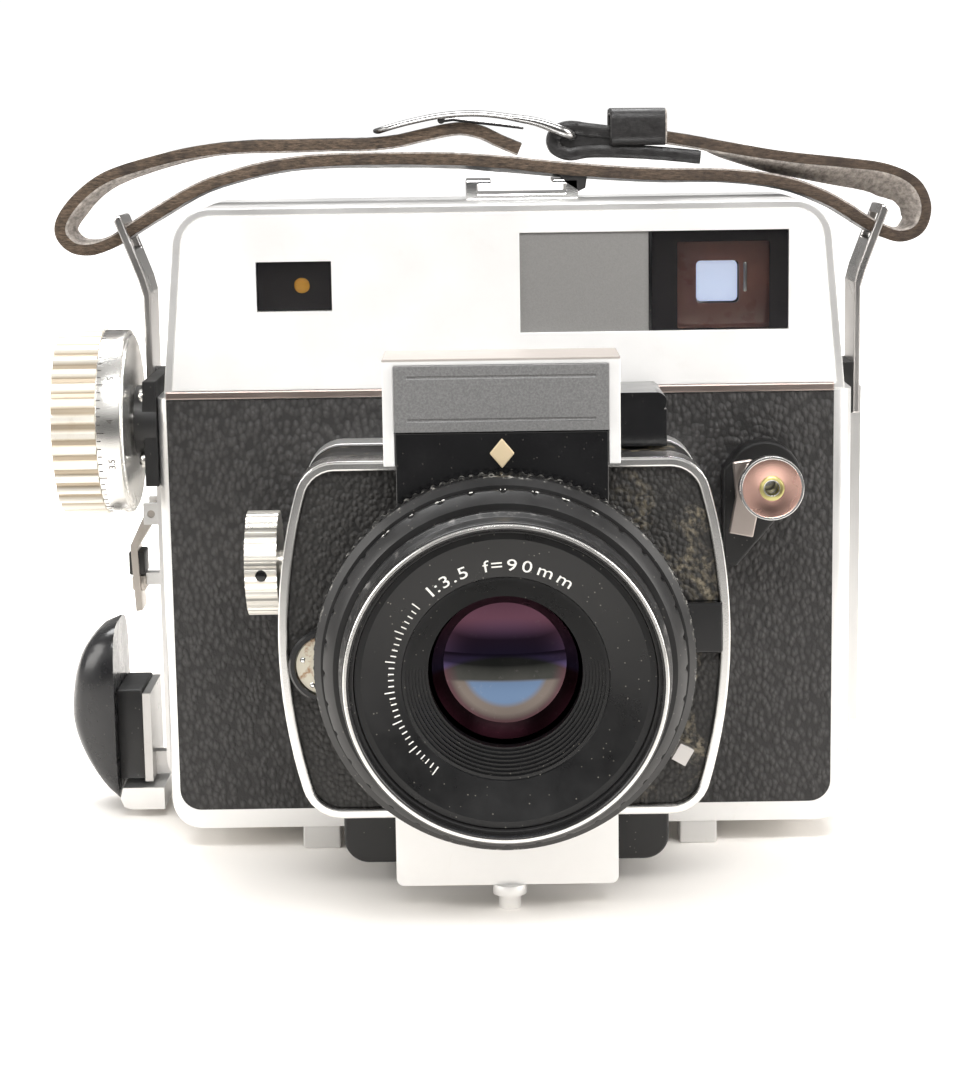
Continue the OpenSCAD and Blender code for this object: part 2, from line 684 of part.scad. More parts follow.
module release_blade() color("silver") difference() {
    union() {
        translate([button_x, 0, button_z]) rod_y(3.6, -33, -31.8);
        slab(-33, -31.8) polygon([[46.2, 69.8], [51.2, 68.8], [52.6, 76], [54.2, 83.5],
            [50.6, 84.9], [47, 84.4], [47.6, 77]]);
    }
    translate([button_x, 0, button_z]) rod_y(2.4, -34, -31);
}

module advance_grip() color([0.07, 0.07, 0.08]) {
    grip_r = 24.5;
    intersection() {
        slab(5, 31) intersection() {
            translate([-97 + grip_r, 23]) circle(r = grip_r, $fn = 120);
            translate([-100, 2.7]) square([13.6, 40.5]);
        }
        linear_extrude(60) translate([-97.2 + 19, 18]) circle(r = 19, $fn = 120);
    }
    block(-86.4, -80.6, 9.5, 26.5, 8, 29);
}

module advance_rack() color("silver") {
    block(-80.6, -78.8, 8.5, 27.5, 7.8, 28);
    pitch_y = spool_y - film_pitch_r;
    rack_back = pitch_y - 1.2 * film_module + 0.05;
    block(-78.8, handle_travel + 6 - spool_x, 14.2, rack_back, 8, 13.2);
    translate([-spool_x, pitch_y, 8]) linear_extrude(5.2) mirror([0, 1, 0])
        rack_teeth(film_module, -1, ceil(handle_travel / (PI * film_module)));
}

// Roll-film spool between z0 and z1, with slotted flanges
module spool(z0, z1) {
    difference() {
        union() {
            rod_z(5.6, z0, z1);
            rod_z(12.3, z0, z0 + 1.2);
            rod_z(12.3, z1 - 1.2, z1);
        }
        rod_z(2 + run_gap, z1 - 4, z1 + 1);
        for (a = [0, 90]) rotate([0, 0, a]) block(-4, 4, -0.6, 0.6, z1 - 2.5, z1 + 1);
    }
}
module takeup_spool() color([0.15, 0.15, 0.15]) translate([-spool_x, spool_y, 0]) {
    spool(18.5, 83.5);
    rod_z(2, 7.8, 18.6);
    translate([0, 0, 8.2]) linear_extrude(4.8) rotate([0, 0, -90]) gear(film_module, film_teeth);
}
module supply_spool() color([0.15, 0.15, 0.15]) translate([spool_x, spool_y, 0]) difference() {
    spool(18.5, 83.5);
    rod_z(2 + run_gap, 18, 23.5);
}

module rear_cover() color("silver") {
    inner = back_rear + 0.3;
    difference() {
        slab(inner, 43) low_round(back_x0 + 0.4, back_x1 - 0.5, base_z + 0.8, cover_z - 0.5, 7);
        slab(inner - 1, 41) low_round(back_x0 + 3, back_x1 - 3, base_z + 3.4, cover_z - 3, 5);
    }
    for (k = [[20, 40], [62, 82]]) {
        block(back_x1 - 1.2, hinge_x - 1.4, 39.6, 41.4, k[0], k[1]);
        difference() {
            translate([hinge_x, hinge_y, 0]) rod_z(2.2, k[0], k[1]);
            translate([hinge_x, hinge_y, 0]) rod_z(1 + run_gap, k[0] - 1, k[1] + 1);
        }
    }
    for (x = [-30, 30], z = [24, 78]) translate([x, 0, z]) rod_y(1.5, 31.2, 41.1);
    for (x = [-15, 15], z = [35, 67]) leaf_spring(x, z);
}
// Bowed leaf spring behind the pressure plate
module leaf_spring(x, z) translate([x, 0, z - 3]) linear_extrude(6)
    band([[-11, 41.1], [-7, 36.5], [0, 33.4], [7, 36.5], [11, 41.1]], 0.5, 4);

module pressure_plate() color([0.1, 0.1, 0.1]) difference() {
    block(-37, 37, 30.6, 32, 18, 84);
    for (x = [-30, 30], z = [24, 78]) translate([x, 0, z]) rod_y(1.5 + run_gap, 30, 33);
}

module back_catch() color("silver") {
    slab(17.2, 24.8) translate([back_x0 + 76.1, 0]) polygon([[-77.6, 68.9], [-79.2, 68.2],
        [-83.2, 60], [-82.4, 45], [-81, 45.2], [-81.6, 59.4], [-77.3, 66.2]]);
    translate([catch_x, 0, catch_z]) {
        rod_y(1.4, 17.2, 24.8);
        rod_y(0.8, 15.4, 26.6);
    }
}

module counter_dial() color("whitesmoke") translate([0, 22, 0]) difference() {
    rod_z(8, 92.6, 93.6);
    rod_z(1 + run_gap, 92, 94);
}

// Arm that follows the focus rack and turns the rangefinder mirror
module rangefinder_arm() color("silver") {
    difference() {
        block(arm_x - 3, 22, arm_y - 2, arm_y + 2, 101.8, 103.1);
        translate([arm_x, arm_y, 0]) rod_z(1.5 + run_gap, 101, 104);
    }
    block(20, 22, arm_y - 1, arm_y + 1, 97.4, 101.9);
    translate([arm_x, arm_y, 0]) rotate([0, 0, 45]) block(-7, 7, -0.6, 0.6, 103.1, 127);
}

body_casting();
front_leather();
trim_band();
top_cover();
front_plate();
window_glasses();
frame_window();
finder_frame();
finder_optics();
accessory_shoe();
focus_bracket();
strap_lugs();
front_collar();
focus_bed();
feet();
tripod_boss();
light_box();
release_housing();
film_back_shell();
film_gate();
back_trim();
strap();
strap_buckle();
strap_keeper();
standard_housing();
standard_rim();
standard_leather();
name_hood();
name_plate();
focus_rack();
light_tube();
shutter_housing();
lens_barrel();
filter_rim();
front_trim_ring();
front_element();
rear_element();
shutter_blades();
iris_blades();
index_badge();
lower_bracket();
sync_socket();
focus_knob();
focus_scale();
focus_shaft();
speed_ring();
aperture_ring();
sync_lever();
lock_knob();
release_button();
release_blade();
advance_grip();
advance_rack();
takeup_spool();
supply_spool();
rear_cover();
pressure_plate();
back_catch();
counter_dial();
rangefinder_arm();
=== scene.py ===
import math

import bmesh
import bpy
from mathutils import Matrix, Vector, noise


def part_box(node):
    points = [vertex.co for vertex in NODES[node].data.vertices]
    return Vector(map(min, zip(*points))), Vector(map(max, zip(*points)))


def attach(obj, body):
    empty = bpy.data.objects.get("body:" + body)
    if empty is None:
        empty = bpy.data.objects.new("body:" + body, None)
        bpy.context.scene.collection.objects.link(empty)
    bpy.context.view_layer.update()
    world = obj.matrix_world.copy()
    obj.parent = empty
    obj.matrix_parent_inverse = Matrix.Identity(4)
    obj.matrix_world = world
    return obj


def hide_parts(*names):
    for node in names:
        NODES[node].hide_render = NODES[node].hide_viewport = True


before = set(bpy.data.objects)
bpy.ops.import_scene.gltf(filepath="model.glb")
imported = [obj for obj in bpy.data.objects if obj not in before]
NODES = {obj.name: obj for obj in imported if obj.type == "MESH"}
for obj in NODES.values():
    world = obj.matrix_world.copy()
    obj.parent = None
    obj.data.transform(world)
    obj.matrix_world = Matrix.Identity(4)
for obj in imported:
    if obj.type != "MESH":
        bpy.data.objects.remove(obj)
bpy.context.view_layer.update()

MATS = {}
MM = 0.001

# Viewpoint fitted to the outlines in the photograph
CAMERA_PLACE = (-0.0031, -0.535, 0.1591)
CAMERA_PITCH, CAMERA_ROLL = math.radians(10.0), math.radians(0.85)
CAMERA_LENS = 84.43

FLOOR_RADIUS = 7
RANGE_ENDS = ("From Min", "From Max", "To Min", "To Max")


def box(node):
    """Lowest and highest corner of a CAD node in millimetres."""
    low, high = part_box(node)
    return low / MM, high / MM


def middle(node, axes):
    """Middle of a CAD node in metres, with zero on the axes that are left out."""
    low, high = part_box(node)
    return tuple(0.5 * (low[i] + high[i]) if "XYZ"[i] in axes else 0 for i in range(3))


def into_scene(name, data):
    """New object in the scene."""
    obj = bpy.data.objects.new(name, data)
    bpy.context.scene.collection.objects.link(obj)
    return obj


def stand(place, right, up, out):
    """Matrix that puts something at a point, turned to three directions."""
    return Matrix.Translation(place) @ Matrix((right, up, out)).transposed().to_4x4()


# Points on the axes that things turn round, and the radius of the front glass
AXIS = middle("filter_rim", "Z")
KNOB = middle("focus_knob", "YZ")
BUTTON = middle("release_button", "XZ")
LOCK = middle("lock_knob", "YZ")
GLASS_R = 0.5 * (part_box("front_element")[1].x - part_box("front_element")[0].x)


# -------- camera and light

def place_camera():
    """Camera at the photograph's viewing angle."""
    forward = Vector((0, math.cos(CAMERA_PITCH), -math.sin(CAMERA_PITCH)))
    right = Vector((1, 0, 0))
    up = right.cross(forward)
    turned_right = right * math.cos(CAMERA_ROLL) - up * math.sin(CAMERA_ROLL)
    turned_up = right * math.sin(CAMERA_ROLL) + up * math.cos(CAMERA_ROLL)
    data = bpy.data.cameras.new("view")
    data.sensor_width = 36
    data.lens = CAMERA_LENS
    data.clip_start = 0.01
    cam = into_scene("view", data)
    cam.matrix_world = stand(CAMERA_PLACE, turned_right, turned_up, -forward)
    bpy.context.scene.camera = cam


def area_light(name, place, target, size, power, colour=(1, 1, 1)):
    data = bpy.data.lights.new(name, "AREA")
    data.shape = "RECTANGLE"
    data.size, data.size_y = size
    data.energy = power
    data.color = colour
    light = into_scene(name, data)
    light.location = place
    aim = (Vector(target) - Vector(place)).to_track_quat("-Z", "Y")
    light.rotation_euler = aim.to_euler()


def studio():
    """White to the camera. Surfaces see it dimmer ahead, overhead, behind and at the sides."""
    scene = bpy.context.scene
    scene.view_settings.view_transform = "Standard"
    world = bpy.data.worlds.new("studio")
    scene.world = world
    world.use_nodes = True
    tree = world.node_tree
    tree.nodes.clear()

    def add(kind, **settings):
        node = tree.nodes.new("ShaderNode" + kind)
        for key, value in settings.items():
            setattr(node, key, value)
        return node

    def fade(value, *ends):
        node = add("MapRange", interpolation_type="SMOOTHSTEP")
        for key, number in zip(RANGE_ENDS, ends):
            node.inputs[key].default_value = number
        tree.links.new(value, node.inputs["Value"])
        return node.outputs["Result"]

    def combine(operation, *values):
        node = add("Math", operation=operation)
        for socket, value in zip(node.inputs, values):
            tree.links.new(value, socket)
        return node.outputs[0]

    split = add("SeparateXYZ")
    tree.links.new(add("TexCoord").outputs["Generated"], split.inputs[0])
    x, y, z = (split.outputs[axis] for axis in "XYZ")
    ahead = combine("MAXIMUM", fade(y, -0.95, -0.35, 0.10, 1.0), fade(z, 0.08, 0.42, 0.0, 0.8))
    overhead = fade(z, 0.35, 0.85, 1.0, 0.38)
    behind = fade(y, 0.15, 0.75, 1.0, 0.28)
    aside = fade(combine("ABSOLUTE", x), 0.60, 0.97, 1.0, 0.55)
    show, glow = add("Background"), add("Background")
    show.inputs["Color"].default_value = (1, 1, 1, 1)
    show.inputs["Strength"].default_value = 1.05
    glow.inputs["Color"].default_value = (1.0, 0.985, 0.965, 1)
    strength = combine("MULTIPLY", combine("MULTIPLY", ahead, overhead), combine("MULTIPLY", behind, aside))
    tree.links.new(strength, glow.inputs["Strength"])
    mix = add("MixShader")
    tree.links.new(add("LightPath").outputs["Is Camera Ray"], mix.inputs["Fac"])
    tree.links.new(glow.outputs[0], mix.inputs[1])
    tree.links.new(show.outputs[0], mix.inputs[2])
    tree.links.new(mix.outputs[0], add("OutputWorld").inputs["Surface"])
    area_light("top", (-0.1, 0.55, 1.15), (0, 0, 0.05), (1.2, 0.6), 20)
    area_light("left", (-1.1, -0.45, 0.6), (0, 0, 0.07), (0.6, 0.8), 8, (1, 0.98, 0.95))
    area_light("right", (1.1, -0.45, 0.55), (0, 0, 0.07), (0.6, 0.8), 10, (1, 0.97, 0.94))
    area_light("front", (0.1, -0.85, 1.0), (0, 0, 0.06), (0.9, 0.35), 12)


def floor():
    """Pale floor that reads as the background's white far off and reflects darker in front."""
    bm = bmesh.new()
    bmesh.ops.create_circle(bm, cap_ends=True, segments=96, radius=FLOOR_RADIUS)
    mesh = bpy.data.meshes.new("floor")
    bm.to_mesh(mesh)
    bm.free()
    obj = into_scene("floor", mesh)
    s = Shade("floor_white", (0.9, 0.9, 0.9), 0.85)
    seen = s.add("ShaderNodeLightPath").outputs["Is Camera Ray"]
    # Painted shade for reflections: rays other than the camera's see the floor in front dark, standing in
    # for the dark space ahead; the camera sees it pale.
    near = s.math("MAXIMUM", s.range(s.axis("Y"), -0.42, -0.06), seen)
    s.to("Base Color", s.blend(near, (0.06, 0.06, 0.06), (0.95, 0.92, 0.88)))
    away = s.range(s.radius((0, 0, 0), "Z"), 0.15, 0.42)
    s.to("Emission Strength", s.times(away, seen))
    s.set("Emission Color", (1, 1, 1, 1))
    mesh.materials.append(s.mat)


# -------- node helpers

class Shade:
    """A Principled material with short calls for the usual texture nodes, kept in MATS by name."""

    def __init__(self, name, base, rough, metallic=0.0):
        self.mat = MATS[name] = bpy.data.materials.new(name)
        self.mat.use_nodes = True
        self.tree = self.mat.node_tree
        self.bsdf = self.tree.nodes["Principled BSDF"]
        self.set("Base Color", (*base, 1))
        self.set("Roughness", rough)
        self.set("Metallic", metallic)
        self.normal = None
        self.place = self.add("ShaderNodeTexCoord").outputs["Object"]

    def add(self, kind, **settings):
        node = self.tree.nodes.new(kind)
        for key, value in settings.items():
            setattr(node, key, value)
        return node

    def set(self, socket, value):
        self.bsdf.inputs[socket].default_value = value

    def link(self, a, b):
        self.tree.links.new(a, b)

    def to(self, socket, value):
        self.link(value, self.bsdf.inputs[socket])

    def scaled(self, scale, shift=(0, 0, 0)):
        node = self.add("ShaderNodeMapping")
        node.inputs["Scale"].default_value = scale
        node.inputs["Location"].default_value = shift
        self.link(self.place, node.inputs["Vector"])
        return node.outputs[0]

    def noise(self, scale, detail=3.0, rough=0.55, where=None, distort=0.0):
        node = self.add("ShaderNodeTexNoise")
        node.inputs["Scale"].default_value = scale
        node.inputs["Detail"].default_value = detail
        node.inputs["Roughness"].default_value = rough
        node.inputs["Distortion"].default_value = distort
        self.link(where or self.place, node.inputs["Vector"])
        return node.outputs["Fac"]

    def cells(self, scale, where=None, feature="F1", smooth=0.4):
        node = self.add("ShaderNodeTexVoronoi", feature=feature)
        node.inputs["Scale"].default_value = scale
        if feature == "SMOOTH_F1":
            node.inputs["Smoothness"].default_value = smooth
        self.link(where or self.place, node.inputs["Vector"])
        return node.outputs["Distance"]

    def range(self, value, a, b, c=0.0, d=1.0):
        node = self.add("ShaderNodeMapRange")
        for key, number in zip(RANGE_ENDS, (a, b, c, d)):
            node.inputs[key].default_value = number
        self.link(value, node.inputs["Value"])
        return node.outputs["Result"]

    def math(self, operation, a, b=0.0):
        node = self.add("ShaderNodeMath", operation=operation)
        for i, value in enumerate((a, b)):
            if isinstance(value, (int, float)):
                node.inputs[i].default_value = value
            else:
                self.link(value, node.inputs[i])
        return node.outputs[0]

    def times(self, a, b):
        return self.math("MULTIPLY", a, b)

    def axis(self, which):
        node = self.add("ShaderNodeSeparateXYZ")
        self.link(self.place, node.inputs[0])
        return node.outputs[which]

    def radius(self, centre, along):
        """Distance in metres from a line through centre along one axis."""
        shift = self.scaled((1, 1, 1), tuple(-c for c in centre))
        node = self.add("ShaderNodeSeparateXYZ")
        self.link(shift, node.inputs[0])
        u, v = [a for a in "XYZ" if a != along]
        square = self.math("ADD", self.times(node.outputs[u], node.outputs[u]),
                           self.times(node.outputs[v], node.outputs[v]))
        return self.math("SQRT", square)

    def blend(self, fac, a, b):
        node = self.add("ShaderNodeMix", data_type="RGBA")
        self.link(fac, node.inputs["Factor"])
        for name, value in (("A", a), ("B", b)):
            socket = [s for s in node.inputs if s.name == name and s.type == "RGBA"][0]
            if isinstance(value, tuple):
                socket.default_value = (*value, 1)
            else:
                self.link(value, socket)
        return [s for s in node.outputs if s.type == "RGBA"][0]

    def over(self, fac, tone):
        """Lays a tone over the colour that is linked so far."""
        old = self.bsdf.inputs["Base Color"].links[0].from_socket
        self.to("Base Color", self.blend(fac, old, tone))

    def bump(self, height, distance, strength=1.0):
        node = self.add("ShaderNodeBump")
        node.inputs["Strength"].default_value = strength
        node.inputs["Distance"].default_value = distance
        self.link(height, node.inputs["Height"])
        if self.normal is not None:
            self.link(self.normal, node.inputs["Normal"])
        self.normal = node.outputs[0]
        self.to("Normal", self.normal)


def plated(name, base, rough, grime=(0.55, 0.45, 0.32), dirt=0.35, grain=0.00001, spread=0.08,
           metallic=1.0):
    """Satin or bright plated metal with smudges, fine grain and a trace of old grime."""
    s = Shade(name, base, rough, metallic)
    smudge = s.noise(55, 5, 0.6)
    s.to("Roughness", s.range(smudge, 0.3, 0.7, rough - spread / 2, rough + spread))
    stain = s.range(s.noise(120, 6, 0.7, distort=0.6), 0.62, 0.78, 0.0, dirt)
    tone = s.blend(s.range(smudge, 0.35, 0.65), tuple(c * 0.96 for c in base), base)
    s.to("Base Color", s.blend(stain, tone, grime))
    s.bump(s.noise(5200, 2, 0.5), grain)
    return s


def turned(name, base, rough, centre, along, pitch, depth=0.00001, **more):
    """Metal with lathe lines round an axis."""
    s = plated(name, base, rough, **more)
    lines = s.math("SINE", s.times(s.radius(centre, along), 2 * math.pi / pitch))
    s.bump(lines, depth, 0.6)
    return s


def leatherette(name, base, pebble, lift, stretch=0.7, worn=None):
    """Black pebbled covering whose pebble tops are painted lighter as sheen and hollows darker as shade;
    worn gives where along X it is rubbed, and the rubbed tone.
    """
    s = Shade(name, base, 0.5)
    wobble = s.add("ShaderNodeTexNoise")
    wobble.inputs["Scale"].default_value = 0.45 / pebble
    wobble.inputs["Detail"].default_value = 2
    s.link(s.place, wobble.inputs["Vector"])
    add = s.add("ShaderNodeMix", data_type="VECTOR")
    add.inputs["Factor"].default_value = pebble * 0.5
    ends = {i.name: i for i in add.inputs if i.type == "VECTOR"}
    s.link(s.place, ends["A"])
    s.link(wobble.outputs["Color"], ends["B"])
    moved = [o for o in add.outputs if o.type == "VECTOR"][0]
    scale = s.add("ShaderNodeMapping")
    scale.inputs["Scale"].default_value = (1, 1, stretch)
    s.link(moved, scale.inputs["Vector"])
    cell = s.cells(1 / pebble, scale.outputs[0], "SMOOTH_F1", 0.25)
    dome = s.range(cell, 0.05, 0.70, 1.0, 0.0)
    small = s.noise(2.6 / pebble, 3, 0.6, scale.outputs[0])
    height = s.math("ADD", dome, s.times(small, 0.35))
    s.bump(height, lift)
    # Painted sheen and shade: pebble tops lighter, the hollows between them darker.
    light = tuple(c * 1.35 + 0.004 for c in base)
    colour = s.blend(s.range(dome, 0.0, 0.8), tuple(c * 0.55 for c in base), light)
    s.to("Roughness", s.range(s.noise(0.8 / pebble, 3), 0.3, 0.7, 0.40, 0.58))
    if worn:
        low, high, tone = worn
        patch = s.range(s.noise(95, 5, 0.65, distort=0.8), 0.50, 0.66)
        fine = s.range(s.noise(900, 3, 0.6), 0.42, 0.6, 0.0, 0.8)
        side = s.range(s.axis("X"), low, high)
        amount = s.times(s.times(patch, fine), side)
        colour = s.blend(amount, colour, tone)
    s.to("Base Color", colour)


def enamel(name, base, rough, specks=0.0, grain=0.000012, coat=0.0, peel=900):
    """Black paint or anodising with a fine texture, a few dust specks and scuffs."""
    s = Shade(name, base, rough)
    s.to("Roughness", s.range(s.noise(140, 5, 0.65), 0.3, 0.7, rough - 0.05, rough + 0.1))
    tone = s.blend(s.range(s.noise(70, 4), 0.35, 0.7), base, tuple(c * 1.5 + 0.001 for c in base))
    if specks:
        dust = s.range(s.cells(620), 0.06, 0.10, specks, 0.0)
        tone = s.blend(dust, tone, (0.62, 0.58, 0.5))
    s.to("Base Color", tone)
    s.bump(s.noise(peel, 3, 0.6), grain)
    if coat:
        s.set("Coat Weight", coat)
        s.set("Coat Roughness", 0.12)
    return s


def worn_edge(s, centre, along, start, end, tone, scale=420, low=0.5, high=0.62):
    """Adds bright rubbed spots between two radii round an axis."""
    near = s.range(s.radius(centre, along), start, end)
    spots = s.range(s.noise(scale, 5, 0.7), low, high)
    s.over(s.times(near, spots), tone)


def glass(name, tint, rough, reflect=(1, 1, 1), level=0.5):
    s = Shade(name, tint, rough)
    s.set("Transmission Weight", 1.0)
    s.set("IOR", 1.5)
    s.set("Specular Tint", (*reflect, 1))
    s.set("Specular IOR Level", level)
    s.to("Base Color", s.blend(s.range(s.noise(60, 3), 0.4, 0.7), tint, tuple(c * 0.92 for c in tint)))


def make_materials():
    """Every finish in the scene. Lengths inside the materials are metres."""
    plated("satin_chrome", (0.90, 0.895, 0.885), 0.32, dirt=0.15, metallic=0.75)
    plated("shell_chrome", (0.76, 0.755, 0.745), 0.30, dirt=0.25, metallic=0.9)
    plated("bright_chrome", (0.84, 0.835, 0.825), 0.14, dirt=0.3, spread=0.05)
    plated("buckle_steel", (0.40, 0.395, 0.39), 0.16, dirt=0.3, spread=0.05)
    plated("rim_chrome", (0.90, 0.89, 0.87), 0.18, (0.42, 0.33, 0.18), 0.5)
    plated("satin_plate", (0.93, 0.925, 0.915), 0.42, dirt=0.06, metallic=0.35)
    hood = plated("hood_plate", (0.93, 0.925, 0.915), 0.42, dirt=0.06, metallic=0.35)
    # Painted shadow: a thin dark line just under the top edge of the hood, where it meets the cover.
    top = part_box("name_hood")[1].z
    hood.over(hood.range(hood.axis("Z"), top - 0.00062, top - 0.00035), (0.40, 0.36, 0.33))
    plated("brown_trim", (0.40, 0.33, 0.30), 0.32, (0.33, 0.25, 0.2), 0.5)
    plated("steel", (0.56, 0.55, 0.54), 0.3, (0.3, 0.26, 0.22), 0.5)
    plated("catch_steel", (0.50, 0.46, 0.42), 0.3, (0.3, 0.24, 0.18), 0.5)
    plated("lug_steel", (0.62, 0.60, 0.585), 0.28, (0.36, 0.3, 0.25), 0.55)
    plate = Shade("grey_plate", (0.20, 0.20, 0.201), 0.5, 0.4)
    grain = plate.noise(2300, 4, 0.75)
    plate.to("Base Color", plate.blend(plate.range(grain, 0.38, 0.66),
                                       (0.17, 0.17, 0.171), (0.25, 0.25, 0.248)))
    plate.bump(grain, 0.00003)
    plated("blade", (0.58, 0.51, 0.47), 0.34, (0.4, 0.33, 0.28), 0.4)

    grip = turned("grip_alloy", (0.93, 0.895, 0.81), 0.38, KNOB, "X", 0.0006, dirt=0.4, metallic=0.55)
    # Tan tone in a band of radii just under the ridge tops, which lies in the grooves.
    under_ridge_tops = grip.range(grip.radius(KNOB, "X"), 0.0188, 0.0193, 1.0, 0.0)
    outer = grip.range(grip.radius(KNOB, "X"), 0.0170, 0.0185)
    grip.over(grip.times(grip.times(under_ridge_tops, outer), 0.75), (0.34, 0.25, 0.15))
    turned("knob_ring", (0.90, 0.885, 0.85), 0.22, KNOB, "X", 0.0005)
    turned("lock_alloy", (0.85, 0.82, 0.76), 0.28, LOCK, "X", 0.0005, dirt=0.5)

    for name in ("front_leather", "rear_leather"):
        leatherette(name, (0.027, 0.0255, 0.025), 0.00105, 0.00026)
    leatherette("standard_leather", (0.022, 0.0205, 0.019), 0.00095, 0.00022, 0.85,
                worn=(0.020, 0.034, (0.34, 0.29, 0.20)))
    enamel("black_paint", (0.009, 0.0088, 0.009), 0.38, 0.15)
    enamel("black_gloss", (0.004, 0.004, 0.0045), 0.16, 0.08, 0.000004, 0.3)
    housing = enamel("black_housing", (0.009, 0.0088, 0.009), 0.34, 0.1)
    rub = housing.range(housing.noise(210, 5, 0.7), 0.56, 0.66)
    high = housing.range(housing.axis("Z"), 0.0868, 0.0888)
    housing.over(housing.times(rub, high), (0.5, 0.42, 0.28))
    enamel("inside_black", (0.004, 0.004, 0.0045), 0.6)
    barrel = enamel("lens_black", (0.009, 0.0088, 0.009), 0.32, 0.2, 0.000008, peel=2600)
    worn_edge(barrel, AXIS, "Y", 0.0304, 0.0316, (0.32, 0.31, 0.3), 380, 0.56, 0.74)
    ring = enamel("ring_black", (0.010, 0.0097, 0.0098), 0.34, 0.2, 0.000008, peel=2600)
    worn_edge(ring, AXIS, "Y", 0.0362, 0.0368, (0.60, 0.58, 0.53), 520, 0.55, 0.66)
    rim = enamel("rim_edge", (0.010, 0.0097, 0.0098), 0.22)
    thread = rim.radius(AXIS, "Y")
    bright = rim.times(rim.range(thread, 0.02955, 0.02965), rim.range(thread, 0.03030, 0.03018))
    rim.over(bright, (0.92, 0.905, 0.88))
    rim.to("Metallic", bright)
    enamel("name_black", (0.004, 0.004, 0.0044), 0.3, 0.25, 0.000004)
    enamel("bakelite", (0.006, 0.006, 0.007), 0.26, 0.1, 0.000003, 0.25)
    enamel("spool_plastic", (0.02, 0.02, 0.021), 0.42)
    plated("gold_badge", (0.93, 0.76, 0.50), 0.32, (0.4, 0.26, 0.12), 0.4, metallic=0.45)
    turned("olive_brass", (0.58, 0.52, 0.22), 0.3, BUTTON, "Y", 0.0005)
    socket = plated("socket_cream", (0.82, 0.78, 0.66), 0.4, (0.45, 0.22, 0.08), 0.9)
    socket.over(socket.range(socket.noise(330, 5, 0.7), 0.50, 0.62, 0.0, 0.85), (0.42, 0.20, 0.07))

    face = plated("button_copper", (0.80, 0.50, 0.42), 0.26, (0.3, 0.16, 0.14), 0.3)
    face.set("Anisotropic", 0.85)
    tangent = face.add("ShaderNodeTangent", direction_type="RADIAL", axis="Y")
    face.to("Tangent", tangent.outputs[0])

    glass("window_glass", (0.97, 0.94, 0.92), 0.0, reflect=(0.8, 0.75, 1.0), level=0.3)
    glass("clear_glass", (0.95, 0.97, 1.0), 0.01)
    glass_with_painted_reflections("front_glass")
    frosted()
    enamel("white_paint", (0.75, 0.74, 0.70), 0.5)
    enamel("dark_mark", (0.05, 0.045, 0.04), 0.5)
    amber()
    enamel("finder_brown", (0.34, 0.155, 0.115), 0.30, 0.0, 0.000004, 0.5)
    finder_glow()
    raw_edge()
    strap_face("strap_face", (0.011, 0.010, 0.010))
    strap_face("strap_flesh", (0.30, 0.27, 0.245), 0.8)


def frosted():
    """Ground window that lights the frame lines."""
    s = Shade("frosted_window", (0.30, 0.30, 0.295), 0.42)
    fine = s.noise(3800, 3, 0.7)
    s.to("Base Color", s.blend(fine, (0.165, 0.162, 0.157), (0.255, 0.250, 0.243)))
    s.bump(fine, 0.00003)
    s.set("Coat Weight", 0.5)
    s.set("Coat Roughness", 0.2)


def amber():
    s = Shade("amber_window", (0.75, 0.42, 0.06), 0.25)
    s.to("Base Color", s.blend(s.noise(900, 2), (0.62, 0.33, 0.05), (0.45, 0.22, 0.03)))
    # Painted glow: a faint emission makes the amber window shine.
    s.set("Emission Color", (0.85, 0.46, 0.07, 1))
    s.set("Emission Strength", 0.12)


def finder_glow():
    """Eye lens: a painted glow, paler towards the top, that stands in for daylight behind it."""
    s = Shade("finder_glow", (0.70, 0.80, 0.97), 0.2)
    # Painted glow: paler towards the top, and emission on a part that is no lamp.
    s.to("Base Color", s.blend(s.range(s.axis("Z"), 0.115, 0.125), (0.62, 0.74, 0.97), (0.85, 0.91, 1.0)))
    s.set("Emission Color", (0.64, 0.75, 1.0, 1))
    s.set("Emission Strength", 0.85)
    s.bump(s.noise(1500, 2), 0.00001)


